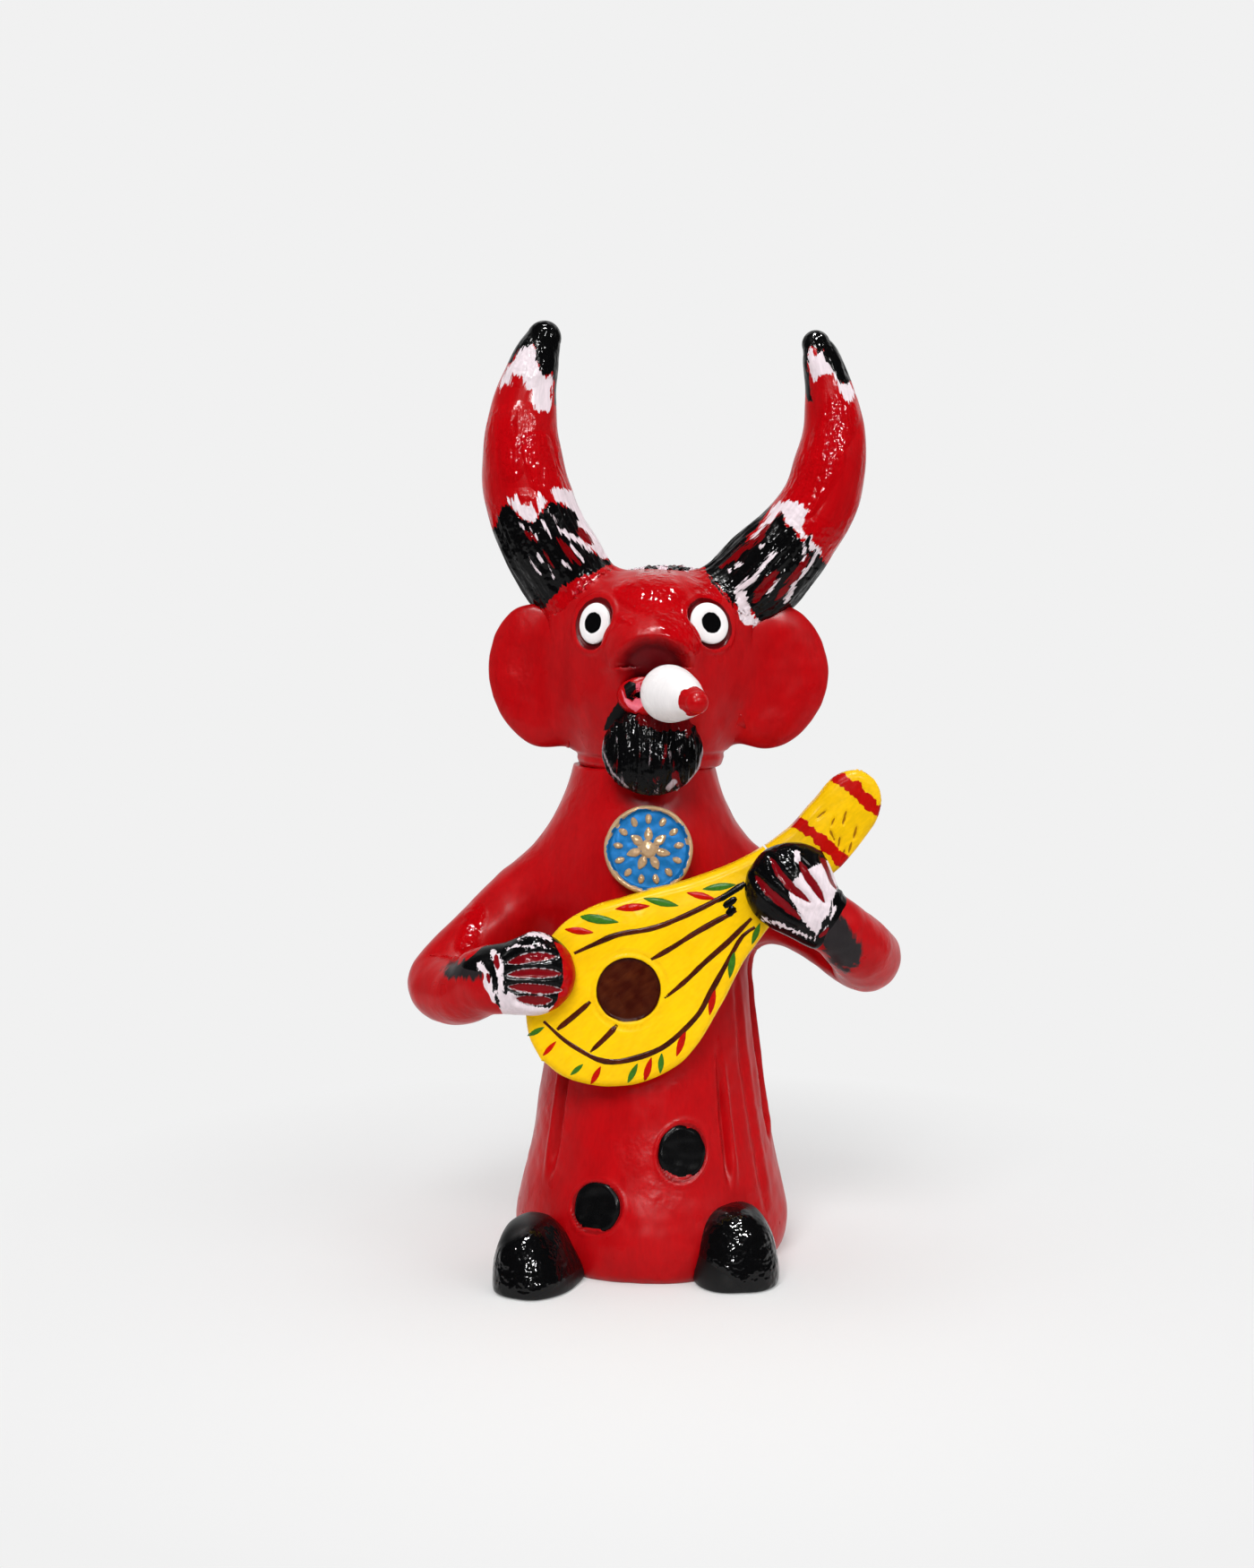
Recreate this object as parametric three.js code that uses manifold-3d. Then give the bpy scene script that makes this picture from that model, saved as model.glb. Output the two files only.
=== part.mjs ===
// Clay devil figurine with a lute: a hand-modelled folk figure, as the clay pieces that it is joined from.
// Millimetres, +Z up, the front looks along -Y. Left and right are as seen from the front.

import * as THREE from "three";
import { mergeVertices } from "three/addons/utils/BufferGeometryUtils.js";
import Module from "manifold-3d";

const wasm = await Module();
wasm.setup();

// Joints between pieces
const SLIP_GAP = 0.3; // clear space left where two pieces of clay meet
const FIGURE_SHIFT_Y = 6.2; // brings the middle of the figure's box over the origin

// Robe: a hollow bell, given as radius and height from the foot up
const ROBE_OUTLINE = [
  [24.6, 0], [25.9, 1.6], [26.7, 5], [26.6, 8], [25.5, 13.5], [24.1, 19.5], [22.6, 28], [21.1, 38],
  [19.7, 50], [18.7, 62], [18.3, 72], [17.8, 80], [16.5, 86], [14.6, 91.5], [13.6, 95],
];
const ROBE_HOLLOW = [
  [7.1, 86], [11, 82], [12.6, 73], [13.6, 58], [15.9, 38], [18.6, 18], [19.6, 6], [19, 0],
];
const HALF_WALL = 2.5; // what lies further in than this belongs to the hollow
const ROBE_LEAN = -1.7; // the chest stands this far to the left of the foot
const ROBE_LEAN_FROM = 52;
const ROBE_LEAN_TO = 82;
const ROBE_DEEPER = 0.06; // the foot is this share deeper than it is wide
const ROBE_DEEPER_TO = 40;
const ROBE_SIDES = 30; // points round the robe, apart from those of the folds

// Folds pressed into the robe: degrees from the front with the right positive, depth, width in degrees, the
// heights between which a fold runs, and the side on which the pressed clay stands up
const SIDE_FOLDS = [
  { angle: -53, depth: 1.6, width: 1.8, low: 16, high: 62, side: -1 },
  { angle: 36, depth: 1.5, width: 1.5, low: 15, high: 46, side: 1 },
  { angle: 56, depth: 0.5, width: 2.4, low: 8, high: 60, side: 1 },
  { angle: 77, depth: 1.3, width: 2.4, low: 20, high: 66, side: 1 },
];
const BACK_FOLD_ANGLES = [-164, -138, -110, 110, 138, 164];
const BACK_FOLD = { depth: 1.5, width: 2.6, low: 7, high: 48 };
const FOLD_START = 7; // a fold deepens over this height from its lower end
const FOLD_END = 16; // and fades over this height below its upper end
const FOLD_LIP = 0.4; // share of the depth that stands up beside a fold
const FOLD_LIP_AWAY = 2.3; // in widths
const FOLD_POINTS = [-1.7, -0.8, 0, 0.8, FOLD_LIP_AWAY, 3.8]; // points across a fold, in widths
const LEAST_STEP = 1.2; // degrees between two points round the robe

// Head: an egg on a peg, radius and height
const HEAD_X = -0.4;
const NECK_HEIGHT = 95.4; // the head rests here, and its peg hangs below
const PEG_RADIUS = 6.6;
const PEG_FOOT = 86.6;
const HEAD_SKIN = [
  [14.8, 98.5], [16.6, 103.5], [18.2, 109.5], [18.7, 115.5], [18.1, 121.5], [16.2, 126.3], [12.8, 129.9],
  [7.6, 132], [0, 132.7],
];
const HEAD_OUTLINE = [
  [0, PEG_FOOT], [PEG_RADIUS, PEG_FOOT], [PEG_RADIUS, NECK_HEIGHT], [13.7, NECK_HEIGHT], ...HEAD_SKIN,
];
const HEAD_SIDES = 28;

// Face
const SNOUT = { at: [-0.3, -17.4, 118.4], half: [7.8, 7, 5.8], turn: [0, 0, 0] };
const THUMB = { at: [-0.3, -23.6, 114], half: [7, 5, 5.6], turn: [0, 0, 0] }; // hollows the snout from below
const LIP = { at: [0.1, -18.4, 109.4], half: [5.7, 2.6], roll: 0.95 };
const CIGAR_LINE = [
  [0.9, -19.2, 109.6, 2.4], [1.7, -22.6, 110.2, 4], [2.7, -26, 110.4, 5.2],
  [4.6, -31, 110.1, 4.4], [6.2, -35.5, 109.8, 3.1], [7.3, -38.4, 109.6, 2.1],
];
const BEARD = { at: [-0.2, -18.2, 99.2], half: [9.2, 4.6, 8.2], turn: [-10, 0, 0] };
const EYE_HEIGHT = 122.7;
const EYE_LEFT = { x: -11.2, half: [3.6, 1.2, 3.9] };
const EYE_RIGHT = { x: 10.8, half: [4.4, 1.2, 3.9] };
const EYE_SINK = 0.5; // how far the middle of an eye lies under the skin of the head
const EYE_TILT = -14; // an eye leans back with the forehead
const EYE_TURN = 0.85; // and turns by this share of the head's own turn
const EAR_LEFT = { at: [-21.6, -2.5, 112.3], half: [10, 3, 13.8], turn: [0, -9, -8] };
const EAR_RIGHT = { at: [22.7, -2.5, 112.1], half: [11.1, 3, 13.9], turn: [0, 9, 8] };

// Hair: a pad on the crown, pulled up into rows of tufts
const HAIR = { at: [2.6, 4.6, 129.6], half: [11, 8.2, 3.2], turn: [0, 0, 0] };
const TUFT_COLUMNS = 6;
const TUFT_ROWS = 4;
const TUFT_STEP = 2.7;
const TUFT_RADIUS = 1.1;
const TUFT_HIGH = 0.9; // above the pad
const TUFT_ROOT = 1; // below it
const TUFT_SIDES = 5;

// Horns, arms and feet: points of the middle line, each with its radius
const HORN_LEFT_LINE = [
  [-14.8, 0.5, 128, 8.2], [-17.6, 0, 133, 8.7], [-21.5, -1.2, 140, 8.5], [-24.2, -1.7, 148.5, 8.3],
  [-25, -1.6, 157, 7.2], [-24.1, -1, 165.5, 5.8], [-22.3, -0.5, 172.2, 4.5], [-20.6, 0, 176.5, 3.3],
];
const HORN_RIGHT_LINE = [
  [15.5, 0.5, 127, 8], [21.4, 0, 132.2, 8.7], [27.3, -1.2, 138.6, 7.9], [31.7, -1.8, 145.3, 7.3],
  [33.7, -1.8, 152.3, 6.9], [34.4, -1.4, 159, 5.9], [33.7, -0.9, 165.8, 4.8], [32, -0.4, 172.6, 3.6],
  [31.1, -0.2, 175.2, 2.7],
];
const ARM_LEFT = {
  upper: [[-11, 0, 74, 9], [-23.5, -2.5, 69.3, 7.6], [-33, -5.5, 61.8, 6.5], [-40.1, -8.6, 54.2, 6.8]],
  fore: [[-40.1, -8.6, 54.2, 6.8], [-36.2, -16.6, 53.6, 6.3], [-30.5, -23.5, 56.6, 5.6]],
};
const ARM_RIGHT = {
  upper: [[10, 0, 73, 8.5], [22.5, -2, 69.2, 7.6], [33.4, -4.5, 63.6, 6.9], [40.3, -9, 59, 6.8]],
  fore: [[40.3, -9, 59, 6.8], [38.9, -16.5, 61.8, 6.3], [34, -22.5, 66.8, 5.6]],
};
const HAND_LEFT = { at: [-22.9, -26, 58.9], half: [8.6, 5.6, 7.7], turn: [0, 8, 0] };
const HAND_RIGHT = { at: [24.9, -26, 75.2], half: [8.4, 5.6, 7.8], turn: [0, -35, 0] };

// Hooves: pads with squarer sides, which narrow by a share and lean towards their tops
const FOOT_LEFT = {
  at: [-21.3, -25, 3.2], half: [7.4, 10.8, 9.4], turn: [0, 0, -20], narrow: 0.34, lean: -1.6,
};
const FOOT_RIGHT = {
  at: [15.2, -22.6, 3.7], half: [7.9, 9.4, 10.4], turn: [0, 0, 8], narrow: 0.24, lean: 0.2,
};
const FOOT_SQUARE = 3; // 2 is an egg, and more is a block with rounder corners
const FOOT_SPREAD = 1.06;
const FOOT_NARROW_FROM = -0.3; // share of the half height

// Lute: along its own axis from the middle of the sound hole, the half width and the bend off the axis
const LUTE_AT = [-4.6, -22.2, 55.4];
const LUTE_AXIS_DEGREES = 38.8; // rise of the neck to the right
const LUTE_LEAN_DEGREES = 2.5; // the top leans back towards the chest
const LUTE_THICK = 5.4;
const LUTE_EDGE = 1.6; // rounding of the slab's edges
const LUTE_JOINT = 36; // where the peg head is joined, under the right hand
const LUTE_OUTLINE = [
  [-21, 0, 0], [-19.6, 5.4, 0], [-15.2, 11.2, 0], [-9, 15.2, 0], [-2.5, 16.8, 0], [3.5, 16.2, 0],
  [9, 14.1, 0], [14.5, 11.8, 0], [19.5, 9.5, 0], [25, 7.7, -0.2], [31, 6.2, -0.5], [36, 5.7, -0.7],
  [42, 5.8, -1.1], [47.5, 6, -0.4], [52, 5.9, 0.6], [55.4, 5.3, 1.2], [57.8, 4, 1.6], [59.1, 2.2, 1.8],
  [59.6, 0, 1.9],
];
const SOUND_HOLE_RADIUS = 6;
const SOUND_HOLE_DEPTH = 0.8;

// Discs on the robe and the chest
const BUTTON_RADIUS = 4.2; // across
const BUTTON_TALLER = 1.14; // share of the width
const BUTTON_THICK = 2.2;
const BUTTON_UPPER = { x: 5.5, z: 24.3 };
const BUTTON_LOWER = { x: -10.8, z: 14 };
const BUTTON_PROUD = 0.7; // how far a button's face stands out of the robe
const BUTTON_EDGE = 0.5;
const BUTTON_SLOPE_REACH = 4; // the robe's slope is measured this far above and below a button
const MEDALLION = { at: [-0.9, -18.3, 80.8], radius: 8.3, thick: 3.2, rim: 1.1, recess: 0.6, tilt: 9 };

// Points round and along the pieces
const PAD_SIDES = 18;
const PAD_ROWS = 10;
const EYE_SIDES = 12;
const EYE_ROWS = 8;
const ROLL_SIDES = 14;
const ROLL_ROWS = 14;
const ROLL_CAP_ROWS = 3;
const HORN_ROWS = 18;
const UPPER_ARM_ROWS = 12;
const FOREARM_ROWS = 10;
const LIP_SIDES = 8;
const LIP_STEPS = 20;
const BUTTON_SIDES = 24;
const HOLE_SIDES = 28;
const MEDALLION_SIDES = 32;
const LUTE_EDGE_STEPS = 2;
const LUTE_CURVE_STEPS = 2;
const FAR = 200; // larger than the figure
const SAME_POINT = 1e-3; // points closer than this are one

// Paint colours
const RED = 0xb80a14;
const BLACK = 0x0d0d0f;
const WHITE = 0xf0eeee;
const YELLOW = 0xf2b90f;
const BRONZE = 0x96784f;
const VARNISH_ROUGHNESS = 0.35;

const { degToRad: toRadians, radToDeg: toDegrees, smoothstep, euclideanModulo } = THREE.MathUtils;

// A closed geometry as a solid that can be cut and joined.
function solidOf(geometry) {
  const bare = geometry.index ? geometry.toNonIndexed() : geometry.clone();
  bare.deleteAttribute("normal");
  bare.deleteAttribute("uv");
  const merged = mergeVertices(bare, SAME_POINT);
  return new wasm.Manifold(
    new wasm.Mesh({
      numProp: 3,
      vertProperties: merged.attributes.position.array,
      triVerts: new Uint32Array(merged.index.array),
    }),
  );
}

// A solid back as a geometry for a mesh.
function geometryOf(solid) {
  const { vertProperties, triVerts } = solid.getMesh();
  const geometry = new THREE.BufferGeometry();
  geometry.setAttribute("position", new THREE.BufferAttribute(new Float32Array(vertProperties), 3));
  geometry.setIndex(new THREE.BufferAttribute(new Uint32Array(triVerts), 1));
  geometry.computeVertexNormals();
  return geometry;
}

// What is left of a solid when its neighbours are cut away: its largest piece.
function cut(solid, ...neighbours) {
  const left = neighbours.reduce((rest, neighbour) => rest.subtract(neighbour), solid);
  return left.decompose().sort((a, b) => b.volume() - a.volume())[0];
}

// Moves each vertex of a geometry by a function of its position.
function reshape(geometry, move) {
  const position = geometry.attributes.position;
  const point = new THREE.Vector3();
  for (let i = 0; i < position.count; i++) {
    point.fromBufferAttribute(position, i);
    move(point);
    position.setXYZ(i, point.x, point.y, point.z);
  }
  return geometry;
}

// A profile of [radius, height] pairs turned about the Z axis.
function turned(profile, sides) {
  const points = profile.map(([radius, height]) => new THREE.Vector2(radius, height));
  return new THREE.LatheGeometry(points, sides).rotateX(Math.PI / 2);
}

// A ball of clay of radius 1 with its poles up and down.
function ball(sides, rows) {
  return new THREE.SphereGeometry(1, sides, rows).rotateX(Math.PI / 2);
}

// Turns a geometry about X, Y and Z in degrees, and moves it to its place.
function placed(geometry, { at, turn }) {
  const angles = new THREE.Euler(...turn.map(toRadians), "ZYX");
  geometry.applyMatrix4(new THREE.Matrix4().makeRotationFromEuler(angles));
  return solidOf(geometry.translate(...at));
}

// A ball of clay pressed to three half sizes.
function pad(place, grow = 0, sides = PAD_SIDES, rows = PAD_ROWS) {
  const half = place.half.map((size) => size + grow);
  return placed(ball(sides, rows).scale(...half), place);
}

function hoof(place) {
  const geometry = reshape(ball(PAD_SIDES, PAD_ROWS), (point) => {
    const powers = point.toArray().map((size) => Math.abs(size) ** FOOT_SQUARE);
    point.divideScalar((powers[0] + powers[1] + powers[2]) ** (1 / FOOT_SQUARE));
    const height = smoothstep(point.z, FOOT_NARROW_FROM, 1);
    const spread = FOOT_SPREAD - place.narrow * height;
    point.multiply(new THREE.Vector3(spread, spread, 1)).multiply(new THREE.Vector3(...place.half));
    point.x += place.lean * height;
  });
  return placed(geometry, place);
}

// The pad of hair with its tufts, each a small cone rooted in the pad.
function hair() {
  const [middleX, middleY, middleZ] = HAIR.at;
  const [halfX, halfY, halfZ] = HAIR.half;
  const tuftLong = TUFT_HIGH + TUFT_ROOT;
  let tufted = pad(HAIR);
  for (let column = 0; column < TUFT_COLUMNS; column++) {
    for (let row = 0; row < TUFT_ROWS; row++) {
      const x = (column - (TUFT_COLUMNS - 1) / 2 + (row % 2) / 2) * TUFT_STEP;
      const y = (row - (TUFT_ROWS - 1) / 2) * TUFT_STEP;
      const onPad = middleZ + halfZ * Math.sqrt(1 - (x / halfX) ** 2 - (y / halfY) ** 2);
      const tuft = new THREE.ConeGeometry(TUFT_RADIUS, tuftLong, TUFT_SIDES).rotateX(Math.PI / 2);
      tuft.translate(middleX + x, middleY + y, onPad + TUFT_HIGH - tuftLong / 2);
      tufted = tufted.add(solidOf(tuft));
    }
  }
  return tufted;
}

// A roll of clay along a line of [x, y, z, radius], round at both ends.
function roll(line, grow = 0, rows = ROLL_ROWS) {
  const points = line.map(([x, y, z]) => new THREE.Vector3(x, y, z));
  const middle = new THREE.CatmullRomCurve3(points);
  const bend = points[1].clone().sub(points[0]);
  bend.cross(points[points.length - 1].clone().sub(points[0])).normalize();
  const thickness = new THREE.SplineCurve(line.map((point, i) => new THREE.Vector2(i, point[3] + grow)));
  const capShare = ROLL_CAP_ROWS / rows;
  const geometry = new THREE.SphereGeometry(1, ROLL_SIDES, rows);
  const uv = geometry.attributes.uv;
  const position = geometry.attributes.position;
  for (let i = 0; i < position.count; i++) {
    const along = THREE.MathUtils.clamp(1 - uv.getY(i), 0, 1);
    const turn = Math.atan2(position.getZ(i), position.getX(i));
    const t = THREE.MathUtils.clamp((along - capShare) / (1 - 2 * capShare), 0, 1);
    const radius = thickness.getPoint(t).y;
    const nearEnd = Math.min(along, 1 - along) / capShare;
    const quarter = (Math.min(nearEnd, 1) * Math.PI) / 2;
    const tangent = middle.getTangent(t);
    const side = bend.clone().cross(tangent).normalize();
    const up = tangent.clone().cross(side);
    const end = along < 0.5 ? -1 : 1;
    const point = middle.getPoint(t).addScaledVector(tangent, end * radius * Math.cos(quarter));
    point.addScaledVector(side, radius * Math.sin(quarter) * Math.cos(turn));
    point.addScaledVector(up, radius * Math.sin(quarter) * Math.sin(turn));
    position.setXYZ(i, point.x, point.y, point.z);
  }
  return solidOf(geometry);
}

// An arm: an upper arm and a forearm that share a round elbow.
function arm({ upper, fore }, grow = 0) {
  return roll(upper, grow, UPPER_ARM_ROWS).add(roll(fore, grow, FOREARM_ROWS));
}

const robeFolds = [...SIDE_FOLDS];
for (const angle of BACK_FOLD_ANGLES) robeFolds.push({ ...BACK_FOLD, angle, side: Math.sign(angle) });

// The radius of an outline at a height, between its points.
function radiusAt(outline, height) {
  const above = outline.findIndex(([, z], i) => i > 0 && z >= height);
  const [r0, z0] = outline[above - 1];
  const [r1, z1] = outline[above];
  return THREE.MathUtils.mapLinear(height, z0, z1, r0, r1);
}

// Degrees round the robe at which it has points: regular ones, and closer ones across each fold.
function robeAngles() {
  const angles = robeFolds.flatMap(({ angle, width, side }) => {
    return FOLD_POINTS.map((share) => angle + side * share * width);
  });
  for (let i = 0; i < ROBE_SIDES; i++) {
    const regular = (i * 360) / ROBE_SIDES - 180;
    const nearest = Math.min(...angles.map((angle) => Math.abs(angle - regular)));
    if (nearest > 360 / ROBE_SIDES / 2) angles.push(regular);
  }
  angles.sort((a, b) => a - b);
  return angles.filter((angle, i) => i === 0 || angle - angles[i - 1] > LEAST_STEP);
}

// How far the folds press the robe in at an angle and a height, less what stands up beside them.
function foldDepth(angle, height) {
  let depth = 0;
  for (const fold of robeFolds) {
    const away = (euclideanModulo(angle - fold.angle + 180, 360) - 180) / fold.width;
    const start = smoothstep(height, fold.low, fold.low + FOLD_START);
    const end = 1 - smoothstep(height, fold.high - FOLD_END, fold.high);
    const lip = FOLD_LIP * Math.exp(-((away - fold.side * FOLD_LIP_AWAY) ** 2));
    depth += fold.depth * start * end * (Math.exp(-(away ** 2)) - lip);
  }
  return depth;
}

// A turned profile with the folds pressed in where it is the robe's outside, and with the chest leaning.
function drapedRobe(profile, isOutside) {
  const angles = robeAngles();
  const geometry = reshape(turned(profile, angles.length), (point) => {
    const radius = Math.hypot(point.x, point.y);
    const turn = toDegrees(Math.atan2(point.x, -point.y));
    const angle = angles[Math.round((euclideanModulo(turn, 360) / 360) * angles.length) % angles.length];
    const reach = radius - (isOutside(radius, point.z) ? foldDepth(angle, point.z) : 0);
    point.x = reach * Math.sin(toRadians(angle));
    point.y = -reach * Math.cos(toRadians(angle));
    point.y *= 1 + ROBE_DEEPER * (1 - smoothstep(point.z, 0, ROBE_DEEPER_TO));
    point.x += ROBE_LEAN * smoothstep(point.z, ROBE_LEAN_FROM, ROBE_LEAN_TO);
  });
  return solidOf(geometry);
}

// The robe filled in, as the shape that its neighbours are fitted to.
function robeCore(grow = 0) {
  const outer = ROBE_OUTLINE.map(([radius, height]) => [radius + grow, height]);
  const [footRadius] = outer[0];
  const [neckRadius, neckHeight] = outer[outer.length - 1];
  const profile = [[0, -grow], [footRadius, -grow], ...outer.slice(1)];
  profile.push([neckRadius, neckHeight + grow], [0, neckHeight + grow]);
  return drapedRobe(profile, (radius) => radius > 0);
}

function robe() {
  const neck = [ROBE_HOLLOW[0][0], ROBE_OUTLINE[ROBE_OUTLINE.length - 1][1]];
  const profile = [...ROBE_OUTLINE, neck, ...ROBE_HOLLOW, ROBE_OUTLINE[0]];
  return drapedRobe(profile, (radius, height) => radius > radiusAt(ROBE_OUTLINE, height) - HALF_WALL);
}

function head(grow = 0) {
  const profile = HEAD_OUTLINE.map(([radius, height], i) => {
    const last = i === HEAD_OUTLINE.length - 1;
    const onPeg = height <= NECK_HEIGHT;
    return [radius === 0 ? 0 : radius + grow, last ? height + grow : height - (onPeg ? grow : 0)];
  });
  const pegReach = PEG_RADIUS + grow + SLIP_GAP;
  const shape = reshape(turned(profile, HEAD_SIDES), (point) => {
    const isPeg = point.z < HEAD_SKIN[0][1] && Math.hypot(point.x, point.y) < pegReach;
    point.x += isPeg ? ROBE_LEAN : HEAD_X;
  });
  return solidOf(shape);
}

// A pellet seated on a turned surface: its place and its turn about the vertical.
function seated(x, z, outline, sink, middle = 0) {
  const radius = radiusAt(outline, z);
  const angle = Math.asin((x - middle) / radius);
  const reach = radius - sink;
  const at = [middle + reach * Math.sin(angle), -reach * Math.cos(angle), z];
  return { at, turn: [0, 0, toDegrees(angle)] };
}

function eye({ x, half }, grow = 0) {
  const { at, turn } = seated(x, EYE_HEIGHT, HEAD_SKIN, EYE_SINK, HEAD_X);
  return pad({ at, half, turn: [EYE_TILT, 0, EYE_TURN * turn[2]] }, grow, EYE_SIDES, EYE_ROWS);
}

// A flat disc that faces the front, with a rounded rim.
function disc(radius, thick, edge, sides) {
  const profile = [[0, 0], [radius, 0], [radius, thick - edge], [radius - edge, thick], [0, thick]];
  return turned(profile, sides).rotateX(Math.PI / 2);
}

function button({ x, z }, grow = 0) {
  const seat = seated(x, z, ROBE_OUTLINE, BUTTON_THICK - BUTTON_PROUD);
  const below = radiusAt(ROBE_OUTLINE, z - BUTTON_SLOPE_REACH);
  const above = radiusAt(ROBE_OUTLINE, z + BUTTON_SLOPE_REACH);
  const lean = Math.atan2(below - above, 2 * BUTTON_SLOPE_REACH);
  const shape = disc(BUTTON_RADIUS + grow, BUTTON_THICK + 2 * grow, BUTTON_EDGE, BUTTON_SIDES);
  shape.translate(0, grow, 0).scale(1, 1, BUTTON_TALLER);
  return solidOf(shape.rotateX(-lean).rotateZ(toRadians(seat.turn[2])).translate(...seat.at));
}

function medallion() {
  const { at, radius, thick, rim, recess, tilt } = MEDALLION;
  const inner = radius - rim;
  const field = thick - recess;
  const profile = [[0, 0], [radius, 0], [radius, thick], [inner, thick], [inner, field], [0, field]];
  const shape = turned(profile, MEDALLION_SIDES).rotateX(Math.PI / 2).translate(0, thick / 2, 0);
  return solidOf(shape.rotateX(-toRadians(tilt)).translate(...at));
}

// A thin roll bent into an oval: a torus whose points are laid out again by their place round and over it.
function lip(grow = 0) {
  const { at, half, roll: thickness } = LIP;
  const ring = new THREE.TorusGeometry(half[0], thickness, LIP_SIDES, LIP_STEPS);
  const uv = ring.attributes.uv;
  const position = ring.attributes.position;
  for (let i = 0; i < position.count; i++) {
    const around = uv.getX(i) * 2 * Math.PI;
    const over = uv.getY(i) * 2 * Math.PI;
    const out = new THREE.Vector3(Math.cos(around), 0, Math.sin(around));
    const reach = (thickness + grow) * Math.cos(over);
    const x = half[0] * out.x + reach * out.x;
    const z = half[1] * out.z + reach * out.z;
    position.setXYZ(i, at[0] + x, at[1] - (thickness + grow) * Math.sin(over), at[2] + z);
  }
  return solidOf(ring);
}

// Stands a shape of the lute's own plane upright, along the neck and leaning back.
function standLute(geometry) {
  geometry.rotateZ(toRadians(LUTE_AXIS_DEGREES)).rotateX(Math.PI / 2 - toRadians(LUTE_LEAN_DEGREES));
  return solidOf(geometry.translate(...LUTE_AT));
}

// The whole lute as one slab with rounded edges.
function luteSlab(grow = 0) {
  const upper = LUTE_OUTLINE.map(([along, half, bend]) => new THREE.Vector2(along, bend + half));
  const lower = LUTE_OUTLINE.map(([along, half, bend]) => new THREE.Vector2(along, bend - half)).reverse();
  const shape = new THREE.Shape();
  shape.moveTo(upper[0].x, upper[0].y);
  shape.splineThru(upper.slice(1));
  shape.splineThru(lower.slice(1));
  const geometry = new THREE.ExtrudeGeometry(shape, {
    depth: LUTE_THICK - 2 * LUTE_EDGE + 2 * grow,
    bevelThickness: LUTE_EDGE,
    bevelSize: LUTE_EDGE,
    bevelOffset: grow - LUTE_EDGE,
    bevelSegments: LUTE_EDGE_STEPS,
    curveSegments: LUTE_CURVE_STEPS,
  });
  return standLute(geometry.translate(0, 0, LUTE_EDGE - LUTE_THICK / 2 - grow));
}

// The half space of the lute past a place on its axis, towards the peg head or away from it.
function luteBeyond(along, towardsHead) {
  const middle = along + (towardsHead ? FAR / 2 : -FAR / 2);
  return standLute(new THREE.BoxGeometry(FAR, FAR, FAR).translate(middle, 0, 0));
}

function soundHole() {
  const depth = 2 * SOUND_HOLE_DEPTH;
  const shape = new THREE.CylinderGeometry(SOUND_HOLE_RADIUS, SOUND_HOLE_RADIUS, depth, HOLE_SIDES);
  shape.translate(0, -LUTE_THICK / 2, 0).rotateX(-toRadians(LUTE_LEAN_DEGREES));
  return solidOf(shape.translate(...LUTE_AT));
}

const ground = solidOf(new THREE.BoxGeometry(FAR, FAR, FAR).translate(0, 0, -FAR / 2));

// Fitted neighbours: each grown by the gap that the next piece keeps to it
const robeFit = robeCore(SLIP_GAP);
const headFit = head(SLIP_GAP);
const snoutFit = pad(SNOUT, SLIP_GAP);
const lipFit = lip(SLIP_GAP);
const cigarFit = roll(CIGAR_LINE, SLIP_GAP);
const eyeLeftFit = eye(EYE_LEFT, SLIP_GAP);
const eyeRightFit = eye(EYE_RIGHT, SLIP_GAP);
const buttonLowerFit = button(BUTTON_LOWER, SLIP_GAP);
const earLeftFit = pad(EAR_LEFT, SLIP_GAP);
const earRightFit = pad(EAR_RIGHT, SLIP_GAP);
const hornLeftFit = roll(HORN_LEFT_LINE, SLIP_GAP, HORN_ROWS);
const hornRightFit = roll(HORN_RIGHT_LINE, SLIP_GAP, HORN_ROWS);
const armLeftFit = arm(ARM_LEFT, SLIP_GAP);
const armRightFit = arm(ARM_RIGHT, SLIP_GAP);
const luteFit = luteSlab(SLIP_GAP);
const pegHeadSide = luteBeyond(LUTE_JOINT, true);
const bodySide = luteBeyond(LUTE_JOINT + SLIP_GAP, false);
const beardFit = pad(BEARD, SLIP_GAP);

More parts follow.
